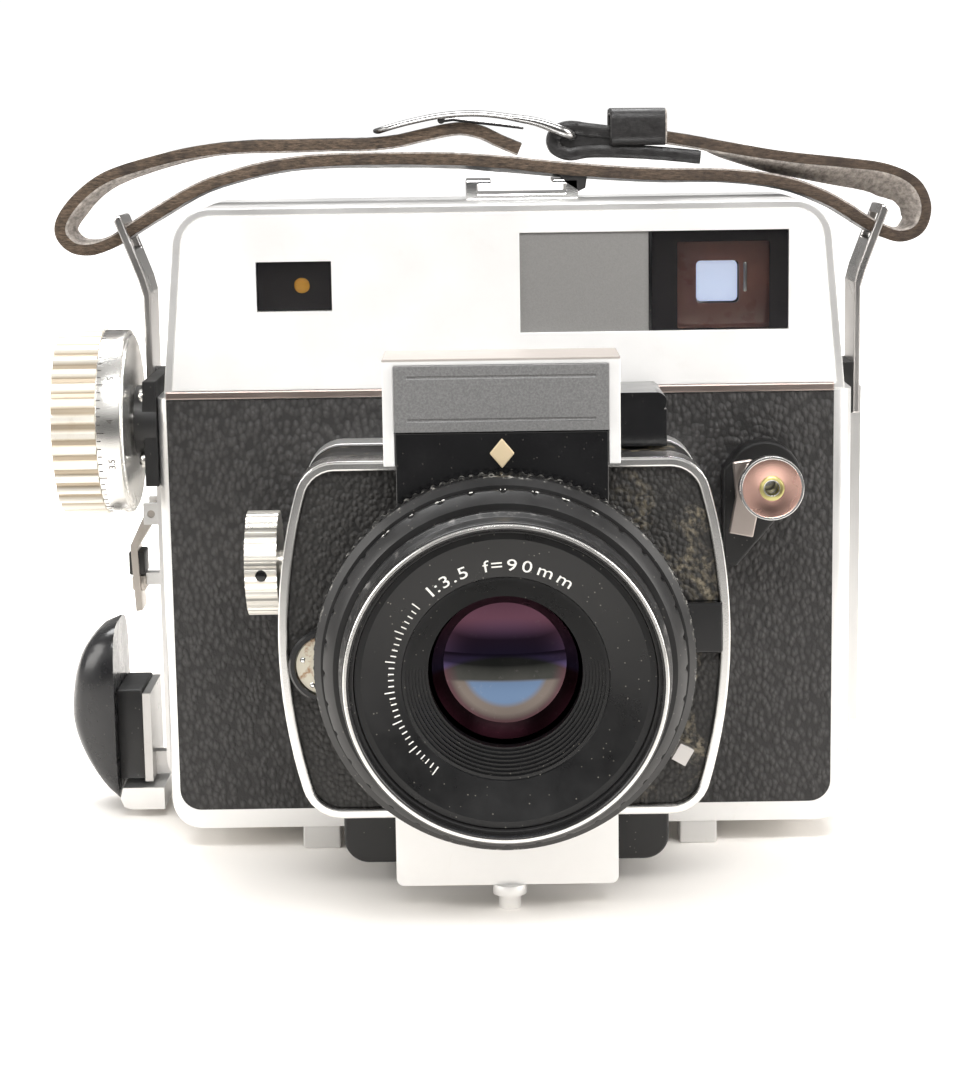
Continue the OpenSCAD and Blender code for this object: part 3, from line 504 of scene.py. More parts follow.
def glass_with_painted_reflections(name):
    """Coated lens front: a dark mirror with painted reflections in its colour: mauve above, dark grey-green
    in the middle, pale and blue patches low down, maroon towards the rim, and dust specks.
    """
    s = Shade(name, (0.12, 0.08, 0.12), 0.012, 1.0)
    reach = GLASS_R
    z = s.axis("Z")
    # Painted reflections: these masks place reflected tones on the glass by their position on it.
    ring = s.radius((0, 0, AXIS[2] + 0.09 * reach), "Y")
    painted_reflection_horizon = s.radius((0, 0, AXIS[2] - 1.6 * reach), "Y")
    dust = s.noise(700, 4, 0.7)
    painted_upper_reflection = s.blend(s.range(painted_reflection_horizon, 1.85 * reach, 2.3 * reach), (0.10, 0.075, 0.17), (0.165, 0.072, 0.105))
    painted_room_reflection = s.blend(s.range(s.noise(120, 3), 0.35, 0.65), (0.040, 0.044, 0.040), (0.066, 0.066, 0.062))
    low = s.range(z, AXIS[2] - 0.10 * reach, AXIS[2] - 0.14 * reach)
    painted_blue_reflection = s.times(s.range(ring, 0.58 * reach, 0.50 * reach), low)
    painted_pale_reflection = s.times(s.range(ring, 0.76 * reach, 0.66 * reach), low)
    edge = s.range(ring, 0.62 * reach, 0.95 * reach)
    tone = s.blend(edge, painted_room_reflection, (0.12, 0.035, 0.055))
    tone = s.blend(painted_pale_reflection, tone, (0.150, 0.128, 0.115))
    tone = s.blend(painted_blue_reflection, tone, (0.115, 0.175, 0.285))
    tone = s.blend(s.range(painted_reflection_horizon, 1.78 * reach, 1.84 * reach), tone, painted_upper_reflection)
    tone = s.blend(s.range(dust, 0.62, 0.8, 0.0, 0.25), tone, (0.35, 0.32, 0.33))
    s.to("Base Color", tone)
    s.bump(s.noise(30, 2), 0.000004)


def raw_edge():
    """Fibrous cut edge of the strap, darker towards its right end."""
    s = Shade("strap_raw_edge", (0.20, 0.12, 0.07), 0.85)
    fibre = s.noise(1700, 5, 0.7, s.scaled((0.35, 1, 1.6)))
    patch = s.noise(160, 4, 0.6)
    tone = s.blend(s.range(fibre, 0.35, 0.68), (0.030, 0.021, 0.014), (0.165, 0.115, 0.078))
    dark = s.range(patch, 0.48, 0.66, 0.0, 0.7)
    tone = s.blend(dark, tone, (0.030, 0.022, 0.017))
    right = s.range(s.axis("X"), -0.02, 0.06, 0.0, 0.45)
    s.to("Base Color", s.blend(right, tone, (0.035, 0.022, 0.016)))
    s.bump(fibre, 0.0003)


def strap_face(name, base, rough=0.45):
    s = Shade(name, base, rough)
    crease = s.noise(650, 5, 0.65, s.scaled((1.5, 0.5, 1.5)))
    s.to("Base Color", s.blend(s.range(crease, 0.35, 0.7), tuple(c * 0.6 for c in base),
                               tuple(c * 1.7 for c in base)))
    s.to("Roughness", s.range(s.noise(300, 4), 0.3, 0.7, rough - 0.1, min(rough + 0.12, 1)))
    s.bump(crease, 0.00012)


# -------- geometry helpers

FIGURE_DEPTH = 0.03     # half the height of a raised figure, in millimetres


def piece(name, bm, body, materials, smooth=True, replaces=()):
    """Makes a mesh object in millimetres from a bmesh and lets it ride on a body."""
    bmesh.ops.scale(bm, vec=(MM, MM, MM), verts=bm.verts)
    bmesh.ops.recalc_face_normals(bm, faces=bm.faces)
    mesh = bpy.data.meshes.new(name)
    bm.to_mesh(mesh)
    bm.free()
    for material in materials if isinstance(materials, (list, tuple)) else [materials]:
        mesh.materials.append(MATS[material])
    obj = into_scene(name, mesh)
    if smooth:
        mesh.shade_smooth()
        mesh.set_sharp_from_angle(angle=math.radians(38))
    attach(obj, body)
    if replaces:
        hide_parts(*replaces)
    return obj


def bevel(obj, width, segments=2, angle=35, weld=False):
    if weld:
        mod = obj.modifiers.new("join", "WELD")
        mod.merge_threshold = 0.000002
        mod = obj.modifiers.new("flat", "DECIMATE")
        mod.decimate_type = "DISSOLVE"
        mod.angle_limit = math.radians(0.6)
    mod = obj.modifiers.new("edges", "BEVEL")
    mod.width = width * MM
    mod.segments = segments
    mod.limit_method = "ANGLE"
    mod.angle_limit = math.radians(angle)
    mod.use_clamp_overlap = True
    mod.miter_outer = "MITER_ARC"


def lathe(bm, profile, place, along, segments=64):
    """Turns a profile of (radius, distance along the axis) round an axis through place."""
    to = {"X": Matrix.Rotation(math.pi / 2, 3, "Y"), "-X": Matrix.Rotation(-math.pi / 2, 3, "Y"),
          "Y": Matrix.Rotation(-math.pi / 2, 3, "X"), "-Y": Matrix.Rotation(math.pi / 2, 3, "X")}[along]
    rings = []
    for r, h in profile:
        if r < 1e-6:
            rings.append([bm.verts.new(Vector(place) + to @ Vector((0, 0, h)))])
        else:
            rings.append([bm.verts.new(Vector(place) + to @ Vector((r * math.cos(a), r * math.sin(a), h)))
                          for a in (2 * math.pi * i / segments for i in range(segments))])
    for one, two in zip(rings, rings[1:]):
        for i in range(segments):
            j = (i + 1) % segments
            loop = [one[i % len(one)], one[j % len(one)], two[j % len(two)], two[i % len(two)]]
            bm.faces.new(list(dict.fromkeys(loop)))


def round_outline(u0, u1, v0, v1, r, steps=8, inset=0.0):
    """Rectangle with round corners as (u, v) points."""
    points = []
    for u, v, start in ((u1 - r, v1 - r, 0), (u0 + r, v1 - r, 90),
                        (u0 + r, v0 + r, 180), (u1 - r, v0 + r, 270)):
        for i in range(steps + 1):
            a = math.radians(start + 90 * i / steps)
            points.append((u + (r - inset) * math.cos(a), v + (r - inset) * math.sin(a)))
    return points


def skin(bm, rings, closed=False, materials=None):
    """Faces between neighbouring rings with the same number of points."""
    pairs = list(zip(rings, rings[1:])) + ([(rings[-1], rings[0])] if closed else [])
    n = len(rings[0])
    for k, (one, two) in enumerate(pairs):
        for i in range(n):
            j = (i + 1) % n
            face = bm.faces.new([one[i], one[j], two[j], two[i]])
            face.material_index = materials[k] if materials else 0


def bar(bm, corners):
    """Block from the four corners of one side and the four of the other."""
    v = [bm.verts.new(c) for c in corners]
    for quad in ((0, 1, 2, 3), (4, 5, 6, 7), (0, 1, 5, 4), (1, 2, 6, 5), (2, 3, 7, 6), (3, 0, 4, 7)):
        bm.faces.new([v[q] for q in quad])


def panel(bm, x0, x1, z0, z1, r, y0, y1, edge=0.3):
    """Panel with round corners in front view and a rounded front edge; y1 is its outer face."""
    sign = 1 if y1 > y0 else -1
    layers = [(0, y0), (0, y1 - sign * edge), (edge * 0.3, y1 - sign * edge * 0.3), (edge, y1)]
    rings = [[bm.verts.new((x, y, z)) for x, z in round_outline(x0, x1, z0, z1, r, inset=inset)]
             for inset, y in layers]
    skin(bm, rings)
    for ring in (rings[0], rings[-1]):
        bm.faces.new(ring)


def made(shape, *args):
    """A bmesh with one shape in it."""
    bm = bmesh.new()
    shape(bm, *args)
    return bm


def glyph(bm, text, matrix, size):
    """Adds one line of generic figures, centred, as thin raised shapes."""
    curve = bpy.data.curves.new("glyph", "FONT")
    curve.body = text
    curve.size = size
    curve.align_x = "CENTER"
    curve.align_y = "CENTER"
    curve.extrude = FIGURE_DEPTH
    curve.resolution_u = 3
    holder = into_scene("glyph", curve)
    bpy.context.view_layer.update()
    mesh = bpy.data.meshes.new_from_object(holder)
    mesh.transform(matrix)
    bm.from_mesh(mesh)
    bpy.data.objects.remove(holder)
    bpy.data.curves.remove(curve)
    bpy.data.meshes.remove(mesh)


def catmull(points, per):
    """Smooth curve through points, with per samples to each stretch."""
    out = []
    last = len(points) - 1
    for k in range(last * per + 1):
        i = min(k // per, last - 1)
        u = k / per - i
        a, b, c, d = (Vector(points[min(max(j, 0), last)]) for j in (i - 1, i, i + 1, i + 2))
        out.append(0.5 * (2 * b + (c - a) * u + (2 * a - 5 * b + 4 * c - d) * u * u
                          + (3 * b - a - 3 * c + d) * u ** 3))
    return out


# -------- strap

STRAP_HALF_THICK = 1.35
ROUTE_STEPS = 8         # curve points from one route point to the next
BLACK_UNTIL = 10        # route point up to which the strap is the black fold's leather

# Middle line of the strap (x, z) in millimetres, as the CAD solid has it
STRAP_ROUTE = [
    (43.4, 144.8), (36, 145.6), (28, 146.2), (20, 146.4), (15.5, 145.9), (12.6, 147.2),
    (12.6, 149.9), (15.5, 151.4), (20, 150.9), (28, 149.9), (34, 149.3), (40.5, 148.3),
    (49.5, 146.6), (61.5, 144.6), (74, 143.2), (83, 141.9), (89, 138.8), (91.4, 134),
    (90.2, 129.4), (86.4, 127.7), (82.4, 128.8), (79, 130.6), (71, 135.6), (61.5, 139.3),
    (49.5, 141), (32, 141.6), (16.5, 142.8), (8.5, 143.7), (0.5, 144.6), (-11, 145.4),
    (-25.5, 145.6), (-37.5, 145.4), (-47, 144.4), (-56.5, 142.2), (-64, 139.5),
    (-72.4, 134.8), (-78, 131.4), (-81.6, 129.1), (-86.4, 127.4), (-90.4, 127.8),
    (-92.9, 130.5), (-92.3, 134), (-88.4, 138.6), (-82.5, 142.5), (-73, 145.4),
    (-63.5, 147.4), (-54, 148.3), (-44.5, 148.4), (-35, 148.5), (-27, 148.5),
    (-20.8, 149.1), (-14.8, 150.4), (-8, 151.5), (-3.2, 150.7), (1.2, 148.6), (5, 147)]


def strap():
    """Leather strap: brown raw edges, black outer face, pale flesh side."""
    low, high = box("strap")
    half_w, mid_y = (high.y - low.y) / 2, (high.y + low.y) / 2
    route = catmull(STRAP_ROUTE, ROUTE_STEPS)
    # Section as (across, through, kind): kind 0 is a raw edge, 1 the flesh side, 2 the outer face
    side = [(0.93, 1.0), (0.985, 0.72), (1.0, 0.3), (1.0, -0.3), (0.985, -0.72), (0.93, -1.0)]
    ring = [(-w, n, 0) for w, n in side] + [(w, -1.0, 1) for w in (-0.6, -0.2, 0.2, 0.6)]
    ring += [(w, n, 0) for w, n in reversed(side)] + [(w, 1.0, 2) for w in (0.6, 0.2, -0.2, -0.6)]
    bm = bmesh.new()
    rows = []
    for k, p in enumerate(route):
        d = route[min(k + 1, len(route) - 1)] - route[max(k - 1, 0)]
        d.normalize()
        normal = Vector((-d.y, d.x))
        t = k / ROUTE_STEPS
        # the strand above the right lug lies rolled, so that its flesh side shows
        roll = math.radians(31) * max(0, 1 - abs(t - 15.2) / 3.6) ** 0.7 if 11.6 < t < 18.8 else 0
        roll += math.radians(9) * max(0, 1 - abs(t - 41.5) / 4)
        roll -= math.radians(7) * max(0, 1 - abs(t - 28) / 9)
        row = []
        for w, n, kind in ring:
            fuzz = noise.noise(Vector((p.x * 0.9, n * 3 + 7 * w, p.y * 0.9)))
            sway = noise.noise(Vector((p.x * 0.11, p.y * 0.11, 3.1 * w)))
            across = w * half_w + (0.16 * fuzz + 0.22 * sway) * (1 if abs(w) > 0.9 else 0)
            thick = n * STRAP_HALF_THICK * (1 + 0.07 * sway) + 0.05 * fuzz
            # the roll is about the front edge
            from_front = across + half_w
            y = mid_y - half_w + from_front * math.cos(roll) - thick * math.sin(roll) * 0.2
            lift = thick * math.cos(roll) - from_front * math.sin(roll)
            row.append(bm.verts.new((p.x + normal.x * lift, y, p.y + normal.y * lift)))
        rows.append(row)
    n = len(ring)
    for k, (one, two) in enumerate(zip(rows, rows[1:])):
        for i in range(n):
            j = (i + 1) % n
            face = bm.faces.new([one[i], one[j], two[j], two[i]])
            kind = max(ring[i][2], ring[j][2])
            if kind == 0 and min(abs(ring[i][1]), abs(ring[j][1])) > 0.7 and ring[i][1] < 0:
                kind = 1
            face.material_index = 2 if k < BLACK_UNTIL * ROUTE_STEPS else kind
    for row in (rows[0], rows[-1]):
        bm.faces.new(row)
    piece("strap_leather", bm, "body", ["strap_raw_edge", "strap_flesh", "strap_face"],
          replaces=["strap"])


def strap_fold():
    """Black fold round the buckle bar, closed up to the keeper, and the free strap tip."""
    low, high = box("strap")
    bm = bmesh.new()

    def prism(points, y0, y1, bulge):
        points = [Vector(p) for p in points]
        mid = sum(points, Vector((0, 0))) / len(points)
        rings = []
        for y, grow in ((y0, 0.0), (y0 + bulge, bulge), (y1 - bulge, bulge), (y1, 0.0)):
            ring = []
            for p in points:
                away = p - mid
                away = away.normalized() * grow if away.length else away
                ring.append(bm.verts.new((p.x + away.x, y, p.y + away.y)))
            rings.append(ring)
        skin(bm, rings)
        bm.faces.new(rings[0])
        bm.faces.new(rings[-1])

    prism(STRAP_ROUTE[6:11] + STRAP_ROUTE[2:6], low.y + 0.6, high.y - 0.6, 0.3)
    tip = [(12.6, 142.4), (19.2, 142.0), (18.7, 138.9), (17.4, 138.3), (14.9, 139.9)]
    prism(tip, low.y + 1.0, low.y + 8.0, 0.3)
    piece("strap_fold", bm, "body", "strap_face")


def keeper():
    """Loop that holds the strap's free end, with its flesh side inwards."""
    low, high = box("strap_keeper")
    wall, r, b = 1.35, 2.2, 0.35
    bm = bmesh.new()

    def loop(x, inset):
        cut = r - max(r - inset, 0.7)
        return [bm.verts.new((x, y, z)) for y, z in
                round_outline(low.y, high.y, low.z, high.z, r, 6, cut)]

    rings = [loop(low.x + b, 0), loop(high.x - b, 0), loop(high.x, b), loop(high.x, wall - b),
             loop(high.x - b, wall), loop(low.x + b, wall), loop(low.x, wall - b), loop(low.x, b)]
    skin(bm, rings, True, (0, 1, 1, 1, 0, 0, 0, 0))
    for vert in bm.verts:
        vert.co.z += 0.12 * noise.noise(vert.co * 0.25)
    piece("keeper_loop", bm, "body", ["strap_face", "strap_flesh"],
          replaces=["strap_keeper"])


def buckle():
    """Arched wire frame with its bar and prong."""
    low, high = box("strap_buckle")
    profile = catmull([(-25.4, 151.2), (-18.7, 153), (-10.9, 154.4), (-3.1, 154.6), (4.7, 153.5),
                       (10, 152.3), (16.4, 149.7)], 8)
    bar_x, prong_y, sides = -11.5, 6, 14

    def height(x):
        for a, b in zip(profile, profile[1:]):
            if a.x <= x <= b.x:
                return a.y + (b.y - a.y) * (x - a.x) / max(b.x - a.x, 1e-6)
        return profile[0].y if x < profile[0].x else profile[-1].y

    bm = bmesh.new()

    def tube(points, closed, size):
        rings = []
        m = len(points)
        for i, p in enumerate(points):
            after = points[(i + 1) % m] if closed or i < m - 1 else p
            before = points[i - 1] if closed or i else p
            d = (after - before).normalized()
            side = d.cross(Vector((0, 0, 1))).normalized()
            up = side.cross(d)
            wide, tall = size(p)
            rings.append([bm.verts.new(p + side * wide * math.cos(a) + up * tall * math.sin(a))
                          for a in (2 * math.pi * j / sides for j in range(sides))])
        skin(bm, rings, closed)
        if not closed:
            bm.faces.new(rings[0])
            bm.faces.new(rings[-1])

    x0, x1, y0, y1 = profile[0].x + 0.4, profile[-1].x, low.y + 1.0, high.y - 1.0
    plan = [Vector((x, y, 0)) for x, y in round_outline(x0, x1, y0, y1, 3.2)]
    dense = []
    for i, p in enumerate(plan):
        q = plan[(i + 1) % len(plan)]
        steps = max(1, int((q - p).length / 1.5))
        dense += [p.lerp(q, s / steps) for s in range(steps)]
    for p in dense:
        p.z = height(p.x)
    tube(dense, True, lambda p: (1.1, 0.62 + 0.55 * max(0, min(1, (p.x - 2) / 12))))
    tube([Vector((bar_x, y, height(bar_x) - 0.9)) for y in (y0 + 0.4, prong_y, y1 - 0.4)], False,
         lambda p: (0.8, 0.8))
    prong = [Vector((x, prong_y, z)) for x, z in
             ((bar_x, 153.3), (-9, 153.6), (-4, 152.9), (1, 152.3), (6, 151.6))]
    tube(prong, False, lambda p: (0.7, 0.5))
    piece("buckle_frame", bm, "body", "buckle_steel", replaces=["strap_buckle"])


# -------- lens

def lens_point(radius, angle, ahead):
    """Point round the lens axis; angle in degrees clockwise from the top, seen from the front."""
    a = math.radians(angle)
    return Vector((radius * math.sin(a), -ahead, AXIS[2] / MM + radius * math.cos(a)))


def lens_marks():
    """Generic figures and ticks on the name ring, in white."""
    front = -box("front_trim_ring")[0].y
    bm = bmesh.new()
    tilt = math.atan2(2.0, 7.4)     # slope of the ring's face

    def on_ring(angle, radius):
        a = math.radians(angle)
        out = Vector((math.sin(a), 0, math.cos(a)))
        right = Vector((math.cos(a), 0, -math.sin(a)))
        up = out * math.cos(tilt) + Vector((0, -1, 0)) * math.sin(tilt)
        normal = right.cross(up)
        ahead = front - (27 - radius) * math.tan(tilt)
        spot = lens_point(radius, angle, ahead) + normal * 0.02
        return stand(spot, right, up, normal)

    radius = 21.8
    for text, angles in (("1:3.5", (-39.1, -35.3, -30.4, -25.6, -20.6)),
                         ("f=90mm", (-9.2, -3.7, 3.7, 11.2, 20.5, 31.0))):
        for char, angle in zip(text, angles):
            glyph(bm, char, on_ring(angle, radius) @ Matrix.Diagonal((1.25, 1, 1, 1)), 3.4)
    for i in range(31):
        tall = 1.9 if i % 5 == 0 else 1.1
        frame_at = on_ring(-142 + i * 3.1, radius - 0.9 + tall / 2)
        bar(bm, [frame_at @ Vector((x, y, z)) for z in (-0.03, 0.03) for x, y in
                 ((-0.11, -tall / 2), (0.11, -tall / 2), (0.11, tall / 2), (-0.11, tall / 2))])
    piece("name_ring_marks", bm, "standard", "white_paint", smooth=False)


def ring_scale():
    """Aperture figures on the outside of the aperture ring, read from above."""
    low, high = box("aperture_ring")
    ahead = -high.y + 1.1
    radius = (high.x - low.x) / 2 + 0.01
    bm = bmesh.new()
    for i, text in enumerate(("3.5", "4", "5.6", "8", "11", "16", "22", "32")):
        angle = math.radians(-40 + i * 10)
        right = Vector((math.cos(angle), 0, -math.sin(angle)))
        up = Vector((0, 1, 0))
        normal = Vector((math.sin(angle), 0, math.cos(angle)))
        spot = lens_point(radius, math.degrees(angle), ahead)
        glyph(bm, text, stand(spot, right, up, normal), 1.7)
    piece("aperture_figures", bm, "aperture", "white_paint", smooth=False)


# -------- finder windows

def mask(bm, outer, inner, y0, y1, r):
    """Square-cornered plate, from y0 back to y1, with a round-cornered opening."""
    rings = [[bm.verts.new((x, y, z)) for x, z in round_outline(*shape, rr, 6)]
             for shape, rr, y in ((outer, 0.05, y1), (outer, 0.05, y0), (inner, r, y0), (inner, r, y1))]
    skin(bm, rings, True)


def finder_details():
    deep = box("frame_window")[1].y + 0.1
    behind = box("finder_optics")[0].y + 6.3
    x0, x1, z0, z1 = 31.3, 59.7, 110.1, 130.6       # the finder window's opening

    # black surround, coppery frame one step in, then the eye lens
    bm = made(mask, (x0 + 0.1, x1 - 0.1, z0 + 0.1, z1 - 0.1),
              (x0 + 5.6, x1 - 3.8, z0 + 0.3, z1 - 2.4), deep, deep + 0.5, 0.4)
    piece("finder_surround", bm, "body", "inside_black")
    bm = made(mask, (x0 + 1.6, x1 - 0.2, z0 + 0.1, z1 - 0.2),
              (x0 + 10.1, x1 - 9.7, z0 + 5.2, z1 - 6.8), behind, behind + 1.0, 0.9)
    piece("finder_inner_frame", bm, "body", "finder_brown")
    bm = made(panel, x0 + 10.4, x1 - 9.9, z0 + 5.5, z1 - 7.1, 1.0, behind + 2.6, behind + 1.6, 0.5)
    piece("finder_eye_lens", bm, "body", "finder_glow")
    bm = made(panel, x0 + 19.5, x0 + 20.3, z0 + 7.4, z0 + 13.4, 0.38, behind + 0.1, behind - 0.4, 0.15)
    piece("finder_clip", bm, "body", "bright_chrome")

    # rangefinder window: dark box with its amber dot
    bm = made(mask, (-49.7, -34.4, 115.3, 125.3), (-42.1, -38.9, 118.8, 122.0), deep, deep + 0.5, 1.5)
    piece("rangefinder_surround", bm, "body", "inside_black")
    bm = made(lathe, [(0, 0.5), (1.0, 0.42), (1.7, 0.1), (1.9, 0)], (-40.5, deep + 0.6, 120.4), "-Y", 40)
    piece("rangefinder_dot", bm, "body", "amber_window")
    # parting between the frosted field and the finder window
    bm = made(panel, 30.9, 31.6, z0 + 0.1, z1 - 0.1, 0.2, -19.0, -19.75, 0.1)
    piece("window_parting", bm, "body", "black_gloss")


# -------- small parts

def screw(bm, place, along, r, h):
    """Domed screw head."""
    profile = [(r, -0.3), (r, h * 0.25), (r * 0.9, h * 0.62), (r * 0.6, h * 0.92), (0.0, h)]
    lathe(bm, profile, place, along, 28)


def screws():
    bm = bmesh.new()
    for z in (97.6, 84.4):
        screw(bm, (-74.1, -16.6, z), "-X", 1.7, 1.5)
    for lug_x, side in ((-75.6, "-X"), (77.4, "X")):
        for z in (94, 107):
            screw(bm, (lug_x, 6, z), side, 2.2, 0.9)
    piece("bracket_screws", bm, "body", "bright_chrome")
    bm = bmesh.new()
    rear = box("rear_cover")[1].y
    for x, z in ((-60, 90), (62, 90), (-60, 13), (62, 13)):
        screw(bm, (x, rear - 0.25, z), "Y", 1.6, 0.5)
    piece("rear_screws", bm, "back_door", "bright_chrome")


def release_details():
    """Threaded cone of the release button and its turned copper face."""
    front = box("release_button")[0].y
    x, z = BUTTON[0] / MM, BUTTON[2] / MM
    bm = made(lathe, [(5.85, 0.0), (5.85, 0.04), (2.6, 0.08), (2.45, 0.0)], (x, front + 0.27, z), "-Y", 96)
    piece("release_face", bm, "release", "button_copper")
    bm = made(lathe, [(2.5, -0.2), (2.5, 0.14), (2.2, 0.26), (1.75, 0.12), (1.48, -0.4), (1.42, -2.5)],
              (x, front + 0.3, z), "-Y", 48)
    piece("release_thread", bm, "release", "olive_brass")


def knob_details():
    """Scale ticks and figures on the smooth ring of the focus knob, and its end cap."""
    ring_x = box("focus_scale")[0].x
    y, z = KNOB[1] / MM, KNOB[2] / MM
    r = 19.22
    bm = bmesh.new()
    for i in range(72):
        a = 2 * math.pi * i / 72
        long = 1.5 if i % 6 == 0 else 0.8
        out = Vector((0, math.cos(a), math.sin(a)))
        side = Vector((0, -math.sin(a), math.cos(a)))
        x0 = ring_x + 0.25
        bar(bm, [Vector((x, y, z)) + out * depth + side * s for depth in (r - 0.05, r + 0.02)
                 for x, s in ((x0, -0.1), (x0 + long, -0.1), (x0 + long, 0.1), (x0, 0.1))])
    for i, text in enumerate(("3.5", "4", "5", "6", "8", "10", "15", "25", "50")):
        a = math.radians(200 - i * 27)
        out = Vector((0, math.cos(a), math.sin(a)))
        right = Vector((0, math.sin(a), -math.cos(a)))
        spot = Vector((ring_x + 3.1, y, z)) + out * r
        glyph(bm, text, stand(spot, right, Vector((-1, 0, 0)), out), 1.9)
    piece("knob_scale_marks", bm, "knob", "dark_mark", smooth=False)
    end = box("focus_knob")[0].x
    bm = made(lathe, [(15.3, -1.0), (15.3, -0.45), (14.8, -0.2), (6.2, -0.2), (5.9, -0.5),
                      (5.4, -0.5), (5.0, 0.0), (4.2, 0.25), (0, 0.3)], (end + 0.35, y, z), "-X", 96)
    piece("knob_end_cap", bm, "knob", "knob_ring")


def lock_details():
    """Index dot and end cap of the lens lock knob."""
    low = box("lock_knob")[0]
    z = LOCK[2] / MM
    bm = made(lathe, [(1.15, -0.4), (1.15, 0.05), (0.8, 0.2), (0, 0.22)],
              (-48.3, low.y + 0.5, z - 0.8), "-Y", 32)
    piece("lock_index_dot", bm, "lens_lock", "black_gloss")
    bm = made(lathe, [(9.2, -0.3), (9.2, 0.15), (8.8, 0.3), (3.4, 0.1), (3.0, 0.35), (0, 0.4)],
              (low.x + 0.1, LOCK[1] / MM, z), "-X", 72)
    piece("lock_cap", bm, "lens_lock", "lock_alloy")


def sync_details():
    low, high = box("sync_socket")
    x, z = 0.5 * (low.x + high.x), 0.5 * (low.z + high.z)
    front = high.y - 1.0
    bm = made(lathe, [(7.3, 1.2), (7.3, -0.3), (6.9, -0.75), (6.1, -0.75), (5.8, -0.2), (5.8, 0.5)],
              (x, front, z), "Y", 72)
    piece("sync_collar", bm, "standard", "black_gloss")
    bm = bmesh.new()
    for i in range(3):
        a = math.radians(95 + i * 70)
        screw(bm, (x + 4.6 * math.cos(a), front + 0.05, z + 4.6 * math.sin(a)), "-Y", 0.62, 0.35)
    piece("sync_screws", bm, "standard", "bright_chrome")


def catch_block():
    """Black spring block that the catch leaf presses on."""
    wall = box("film_back_shell")[0].x
    bm = made(panel, wall - 3.4, wall + 0.2, 53.2, 58.6, 0.5, 24, 17.6, 0.4)
    piece("catch_block", bm, "body", "black_paint")
    bm = made(panel, wall - 3.0, wall + 0.2, 49.4, 53.0, 0.8, 23.4, 18.2, 0.5)
    piece("catch_seat", bm, "body", "catch_steel")


def rear_details():
    """Leather panel on the rear cover, with a memo frame and its plate."""
    low, high = box("rear_cover")
    bm = made(panel, low.x + 5, high.x - 6.5, low.z + 4, high.z - 4, 5, high.y - 0.2, high.y + 0.65, 0.4)
    piece("rear_leather", bm, "back_door", "rear_leather")
    bm = bmesh.new()
    cx, cz, w, h = -8, 58, 31, 27
    face = high.y + 0.6
    panel(bm, cx - w + 0.3, cx + w - 0.3, cz - h, cz - h + 2.4, 0.6, face, face + 0.8, 0.3)
    for x in (cx - w, cx + w - 2.4):
        panel(bm, x, x + 2.4, cz - h, cz + h, 0.6, face, face + 0.9, 0.3)
    piece("memo_frame", bm, "back_door", "bright_chrome")
    bm = made(panel, cx - w + 1.6, cx + w - 1.6, cz - h + 1.6, cz + h - 4, 1.0, face, face + 0.35, 0.2)
    piece("memo_plate", bm, "back_door", "shell_chrome")


def eyepiece():
    """Black ring round the finder eyepiece."""
    rear = box("finder_frame")[1].y
    bm = made(lathe, [(6.05, -3.2), (6.05, -0.2), (6.5, 0.25), (8.6, 0.25),
                      (9.3, -0.2), (9.3, -2.2), (8.7, -2.9), (8.0, -2.9)], (45.5, rear, 120), "Y", 80)
    piece("eyepiece_ring", bm, "body", "black_gloss")


def grip():
    """Handle of the film advance: a squircle in side view, domed outwards, and its stem."""
    low, high = box("advance_grip")
    inner_x = -86.4
    z_mid, z_half = (low.z + high.z) / 2 - 0.4, (high.z - low.z) / 2
    y_mid, y_half = (low.y + high.y) / 2, (high.y - low.y) / 2
    bm = bmesh.new()
    rows, cols = 30, 22
    grid = []
    for i in range(rows + 1):
        row = []
        for j in range(cols + 1):
            a, b = -1 + 2 * i / rows, -1 + 2 * j / cols
            reach = (abs(a) ** 4 + abs(b) ** 4) ** 0.25
            big = max(abs(a), abs(b))
            k = big / reach if reach > 1e-6 else 1
            zz, yy = a * k, b * k
            drop = max(0.0, 1 - (zz * 0.93) ** 2) ** 0.5 if zz > 0 else max(0.0, 1 - abs(zz) ** 1.6) ** 0.85
            side = max(0.0, 1 - (yy * 0.62) ** 2) ** 0.5
            rim = max(0.0, 1 - big ** 7) ** 0.4
            reach_x = (inner_x - low.x) * drop * (0.30 + 0.70 * side)
            x = inner_x - reach_x * (0.12 + 0.88 * rim)
            row.append(bm.verts.new((x, y_mid + y_half * yy, z_mid + 0.4 + z_half * zz)))
        grid.append(row)
    for i in range(rows):
        for j in range(cols):
            bm.faces.new([grid[i][j], grid[i][j + 1], grid[i + 1][j + 1], grid[i + 1][j]])
    border = (grid[0] + [row[cols] for row in grid[1:]] + grid[rows][cols - 1::-1]
              + [row[0] for row in grid[rows - 1:0:-1]])
    back = [bm.verts.new((inner_x, v.co.y * 0.995 + y_mid * 0.005, v.co.z)) for v in border]
    skin(bm, [border, back])
    bm.faces.new(back)
    obj = piece("handle_grip", bm, "advance", "bakelite", replaces=["advance_grip"])
    bevel(obj, 0.6, 3, 50)
    stem_x, stem_top, stem_foot = inner_x + 5.85, z_mid + 6.1, low.z + 5.3
    bm = made(panel, inner_x - 0.1, stem_x, stem_foot, stem_top, 0.5, y_mid + 8.5, y_mid - 8.5, 0.4)
    piece("handle_stem", bm, "advance", "black_paint")


# -------- assembly

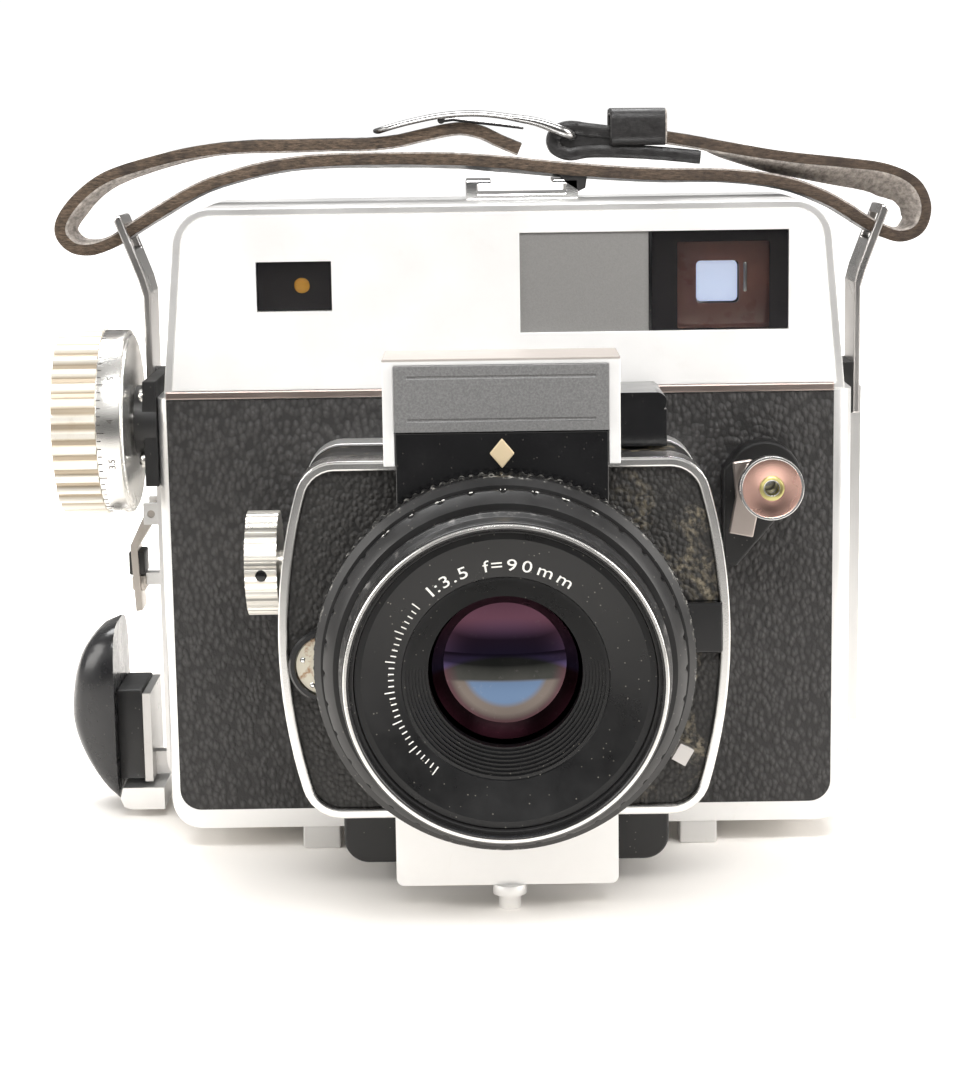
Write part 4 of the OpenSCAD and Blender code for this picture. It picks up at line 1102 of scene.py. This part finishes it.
# Finish of each CAD node
NODE_MATERIAL = {node: material for material, nodes in {
    "satin_chrome": "body_casting top_cover front_collar lower_bracket",
    "front_leather": "front_leather",
    "brown_trim": "trim_band",
    "satin_plate": "front_plate counter_dial",
    "window_glass": "window_glasses",
    "frosted_window": "frame_window",
    "inside_black": "finder_frame light_box film_gate iris_blades pressure_plate",
    "clear_glass": "finder_optics rear_element",
    "bright_chrome": "accessory_shoe strap_buckle release_button",
    "black_paint": "focus_bracket focus_bed release_housing light_tube",
    "lug_steel": "strap_lugs sync_lever",
    "shell_chrome": "feet film_back_shell back_trim rear_cover",
    "steel": "tripod_boss shutter_blades focus_shaft advance_rack rangefinder_arm",
    "strap_face": "strap strap_keeper",
    "black_housing": "standard_housing",
    "rim_chrome": "standard_rim",
    "standard_leather": "standard_leather",
    "hood_plate": "name_hood",
    "grey_plate": "name_plate",
    "black_gloss": "focus_rack shutter_housing",
    "lens_black": "lens_barrel",
    "rim_edge": "filter_rim",
    "name_black": "front_trim_ring",
    "front_glass": "front_element",
    "gold_badge": "index_badge",
    "socket_cream": "sync_socket",
    "grip_alloy": "focus_knob",
    "knob_ring": "focus_scale",
    "ring_black": "speed_ring aperture_ring",
    "lock_alloy": "lock_knob",
    "blade": "release_blade",
    "bakelite": "advance_grip",
    "spool_plastic": "takeup_spool supply_spool",
    "catch_steel": "back_catch",
}.items() for node in nodes.split()}

# Rounding of CAD edges in millimetres; it only breaks the sharp edges
EDGES = {node: width for width, nodes in {
    0.9: "top_cover rear_cover",
    0.5: "body_casting film_back_shell standard_rim shutter_housing focus_bracket back_trim "
         "release_housing",
    0.4: "front_collar standard_housing back_catch feet",
    0.6: "focus_bed focus_rack",
    0.7: "name_hood",
    0.35: "name_plate lower_bracket",
    0.3: "strap_lugs release_button release_blade focus_scale",
    0.25: "accessory_shoe trim_band",
    0.2: "sync_lever index_badge aperture_ring front_plate",
    0.12: "filter_rim",
    0.15: "lens_barrel",
}.items() for node in nodes.split()}

place_camera()
studio()
floor()
make_materials()

for name, node in NODES.items():
    node.data.materials.clear()
    node.data.materials.append(MATS[NODE_MATERIAL[name]])
    if name in EDGES:
        bevel(node, EDGES[name], 2 if EDGES[name] < 0.5 else 3, weld=True)

strap()
strap_fold()
keeper()
buckle()
lens_marks()
ring_scale()
finder_details()
screws()
release_details()
knob_details()
lock_details()
sync_details()
rear_details()
eyepiece()
catch_block()
grip()
